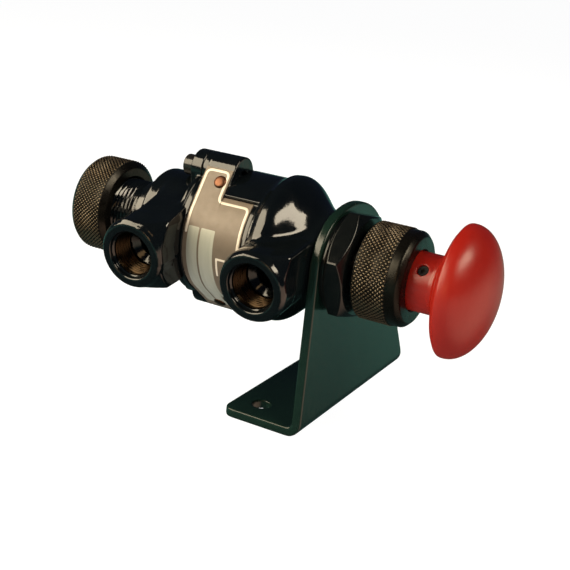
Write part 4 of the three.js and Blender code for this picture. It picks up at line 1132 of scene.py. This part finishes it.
def stage():
    """White floor, and behind everything a white wall that only the camera sees."""
    r = FLOOR_REACH
    corners = np.array([(-r, -r, 0), (r, -r, 0), (r, r, 0), (-r, r, 0)], float)
    floor = mesh_object("floor", corners, [(0, 1, 2, 3)])
    dress(floor, paper("floor_paper", FLOOR_GLOW))
    floor.visible_glossy = False
    n = BACKDROP_SIDES
    turn = np.linspace(0, 2 * math.pi, n, endpoint=False)
    ring = np.stack([np.cos(turn) * r * BACKDROP_SHARE, np.sin(turn) * r * BACKDROP_SHARE, np.zeros(n)], 1)
    wall = [(k, n + k, n + (k + 1) % n, (k + 1) % n) for k in range(n)]
    lid = tuple(range(n, 2 * n))
    backdrop = mesh_object("backdrop", np.concatenate([ring, ring + (0, 0, r)]), [*wall, lid])
    dress(backdrop, paper("backdrop_paper", BACKDROP_GLOW))
    backdrop.visible_glossy = False
    backdrop.visible_diffuse = False
    backdrop.visible_shadow = False
    surroundings()
    bpy.context.scene.view_settings.view_transform = "Standard"


def surroundings():
    """What the glossy black sees: dull green below the horizon, pale at the low right, dark above."""
    world = bpy.context.scene.world or bpy.data.worlds.new("studio")
    bpy.context.scene.world = world
    world.use_nodes = True
    nodes, links = world.node_tree.nodes, world.node_tree.links
    direction = nodes.new("ShaderNodeTexCoord").outputs["Generated"]
    parts = nodes.new("ShaderNodeSeparateXYZ")
    links.new(direction, parts.inputs["Vector"])
    ramp = nodes.new("ShaderNodeValToRGB")
    stops = ramp.color_ramp.elements
    stops.new(0.5)
    for stop, (position, colour) in zip(stops, HEIGHT_COLOURS):
        stop.position = position
        stop.color = (*colour, 1)
    share = nodes.new("ShaderNodeMath")
    share.operation = "MULTIPLY"
    for i, (part, start, end) in enumerate((("Z", LOW_FROM, LOW_TO), ("X", RIGHT_FROM, RIGHT_TO))):
        ranged = nodes.new("ShaderNodeMapRange")
        ranged.inputs["From Min"].default_value = start
        ranged.inputs["From Max"].default_value = end
        links.new(parts.outputs[part], ranged.inputs["Value"])
        links.new(ranged.outputs["Result"], share.inputs[i])
    table = nodes.new("ShaderNodeMix")
    table.data_type = "RGBA"
    table.inputs[7].default_value = (*LOW_RIGHT, 1)
    links.new(share.outputs["Value"], table.inputs["Factor"])
    links.new(ramp.outputs["Color"], table.inputs[6])
    lift = nodes.new("ShaderNodeMapRange")
    lift.inputs["From Min"].default_value = -1
    links.new(parts.outputs["Z"], lift.inputs["Value"])
    links.new(lift.outputs["Result"], ramp.inputs["Fac"])
    links.new(table.outputs[2], nodes["Background"].inputs["Color"])
    nodes["Background"].inputs["Strength"].default_value = 1.0


def softbox(name, azimuth, elevation, distance, size, radiance, colour, mirrored=True):
    """Area light that faces the valve's middle; azimuth 0 is in front, 90 at the right."""
    a, e = math.radians(azimuth), math.radians(elevation)
    away = Vector((math.sin(a) * math.cos(e), -math.cos(a) * math.cos(e), math.sin(e)))
    light = bpy.data.lights.new(name, "AREA")
    light.shape = "RECTANGLE"
    light.size, light.size_y = size
    light.energy = radiance * math.pi * size[0] * size[1]
    light.color = colour
    lamp = bpy.data.objects.new(name, light)
    lamp.location = Vector(LIGHT_AIM) + away * distance
    lamp.rotation_mode = "QUATERNION"
    lamp.rotation_quaternion = away.to_track_quat("Z", "Y")
    lamp.visible_camera = False
    lamp.visible_glossy = mirrored
    bpy.context.scene.collection.objects.link(lamp)


def lights():
    softbox("left_softbox", -47, 30, 1.0, (1.02, 0.72), 8.5, (1.0, 0.86, 0.62))
    softbox("right_softbox", 82, 45, 1.0, (0.68, 0.29), 13, (1.0, 0.87, 0.66))
    softbox("front_card", 8, 16, 1.4, (0.45, 0.5), 2.0, (1.0, 0.62, 0.28))
    softbox("back_fill", 165, 40, 1.4, (1.2, 0.5), 0.6, (0.8, 0.93, 1.0), False)


def camera():
    """At the photograph's viewing angle."""
    x, y, z = CAMERA_PLACE
    place = Vector((x - FOOT_MID_X, y, z + AXIS_HEIGHT)) / 1000
    data = bpy.data.cameras.new("photo_camera")
    data.sensor_width = SENSOR
    data.lens = SENSOR * FOCAL_PIXELS / FRAME_PIXELS
    data.clip_start, data.clip_end = CLIP_NEAR, CLIP_FAR
    seen = bpy.data.objects.new("photo_camera", data)
    turn = Matrix((Vector(CAMERA_RIGHT), Vector(CAMERA_UP), -Vector(CAMERA_FORWARD))).transposed()
    seen.matrix_world = Matrix.Translation(place) @ turn.to_4x4()
    bpy.context.scene.collection.objects.link(seen)
    bpy.context.scene.camera = seen


castings()
turned_parts()
small_parts()
return_spring()
bracket_and_button()
for node, finish in NODE_FINISH.items():
    dress(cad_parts[node], finish)
stage()
lights()
camera()
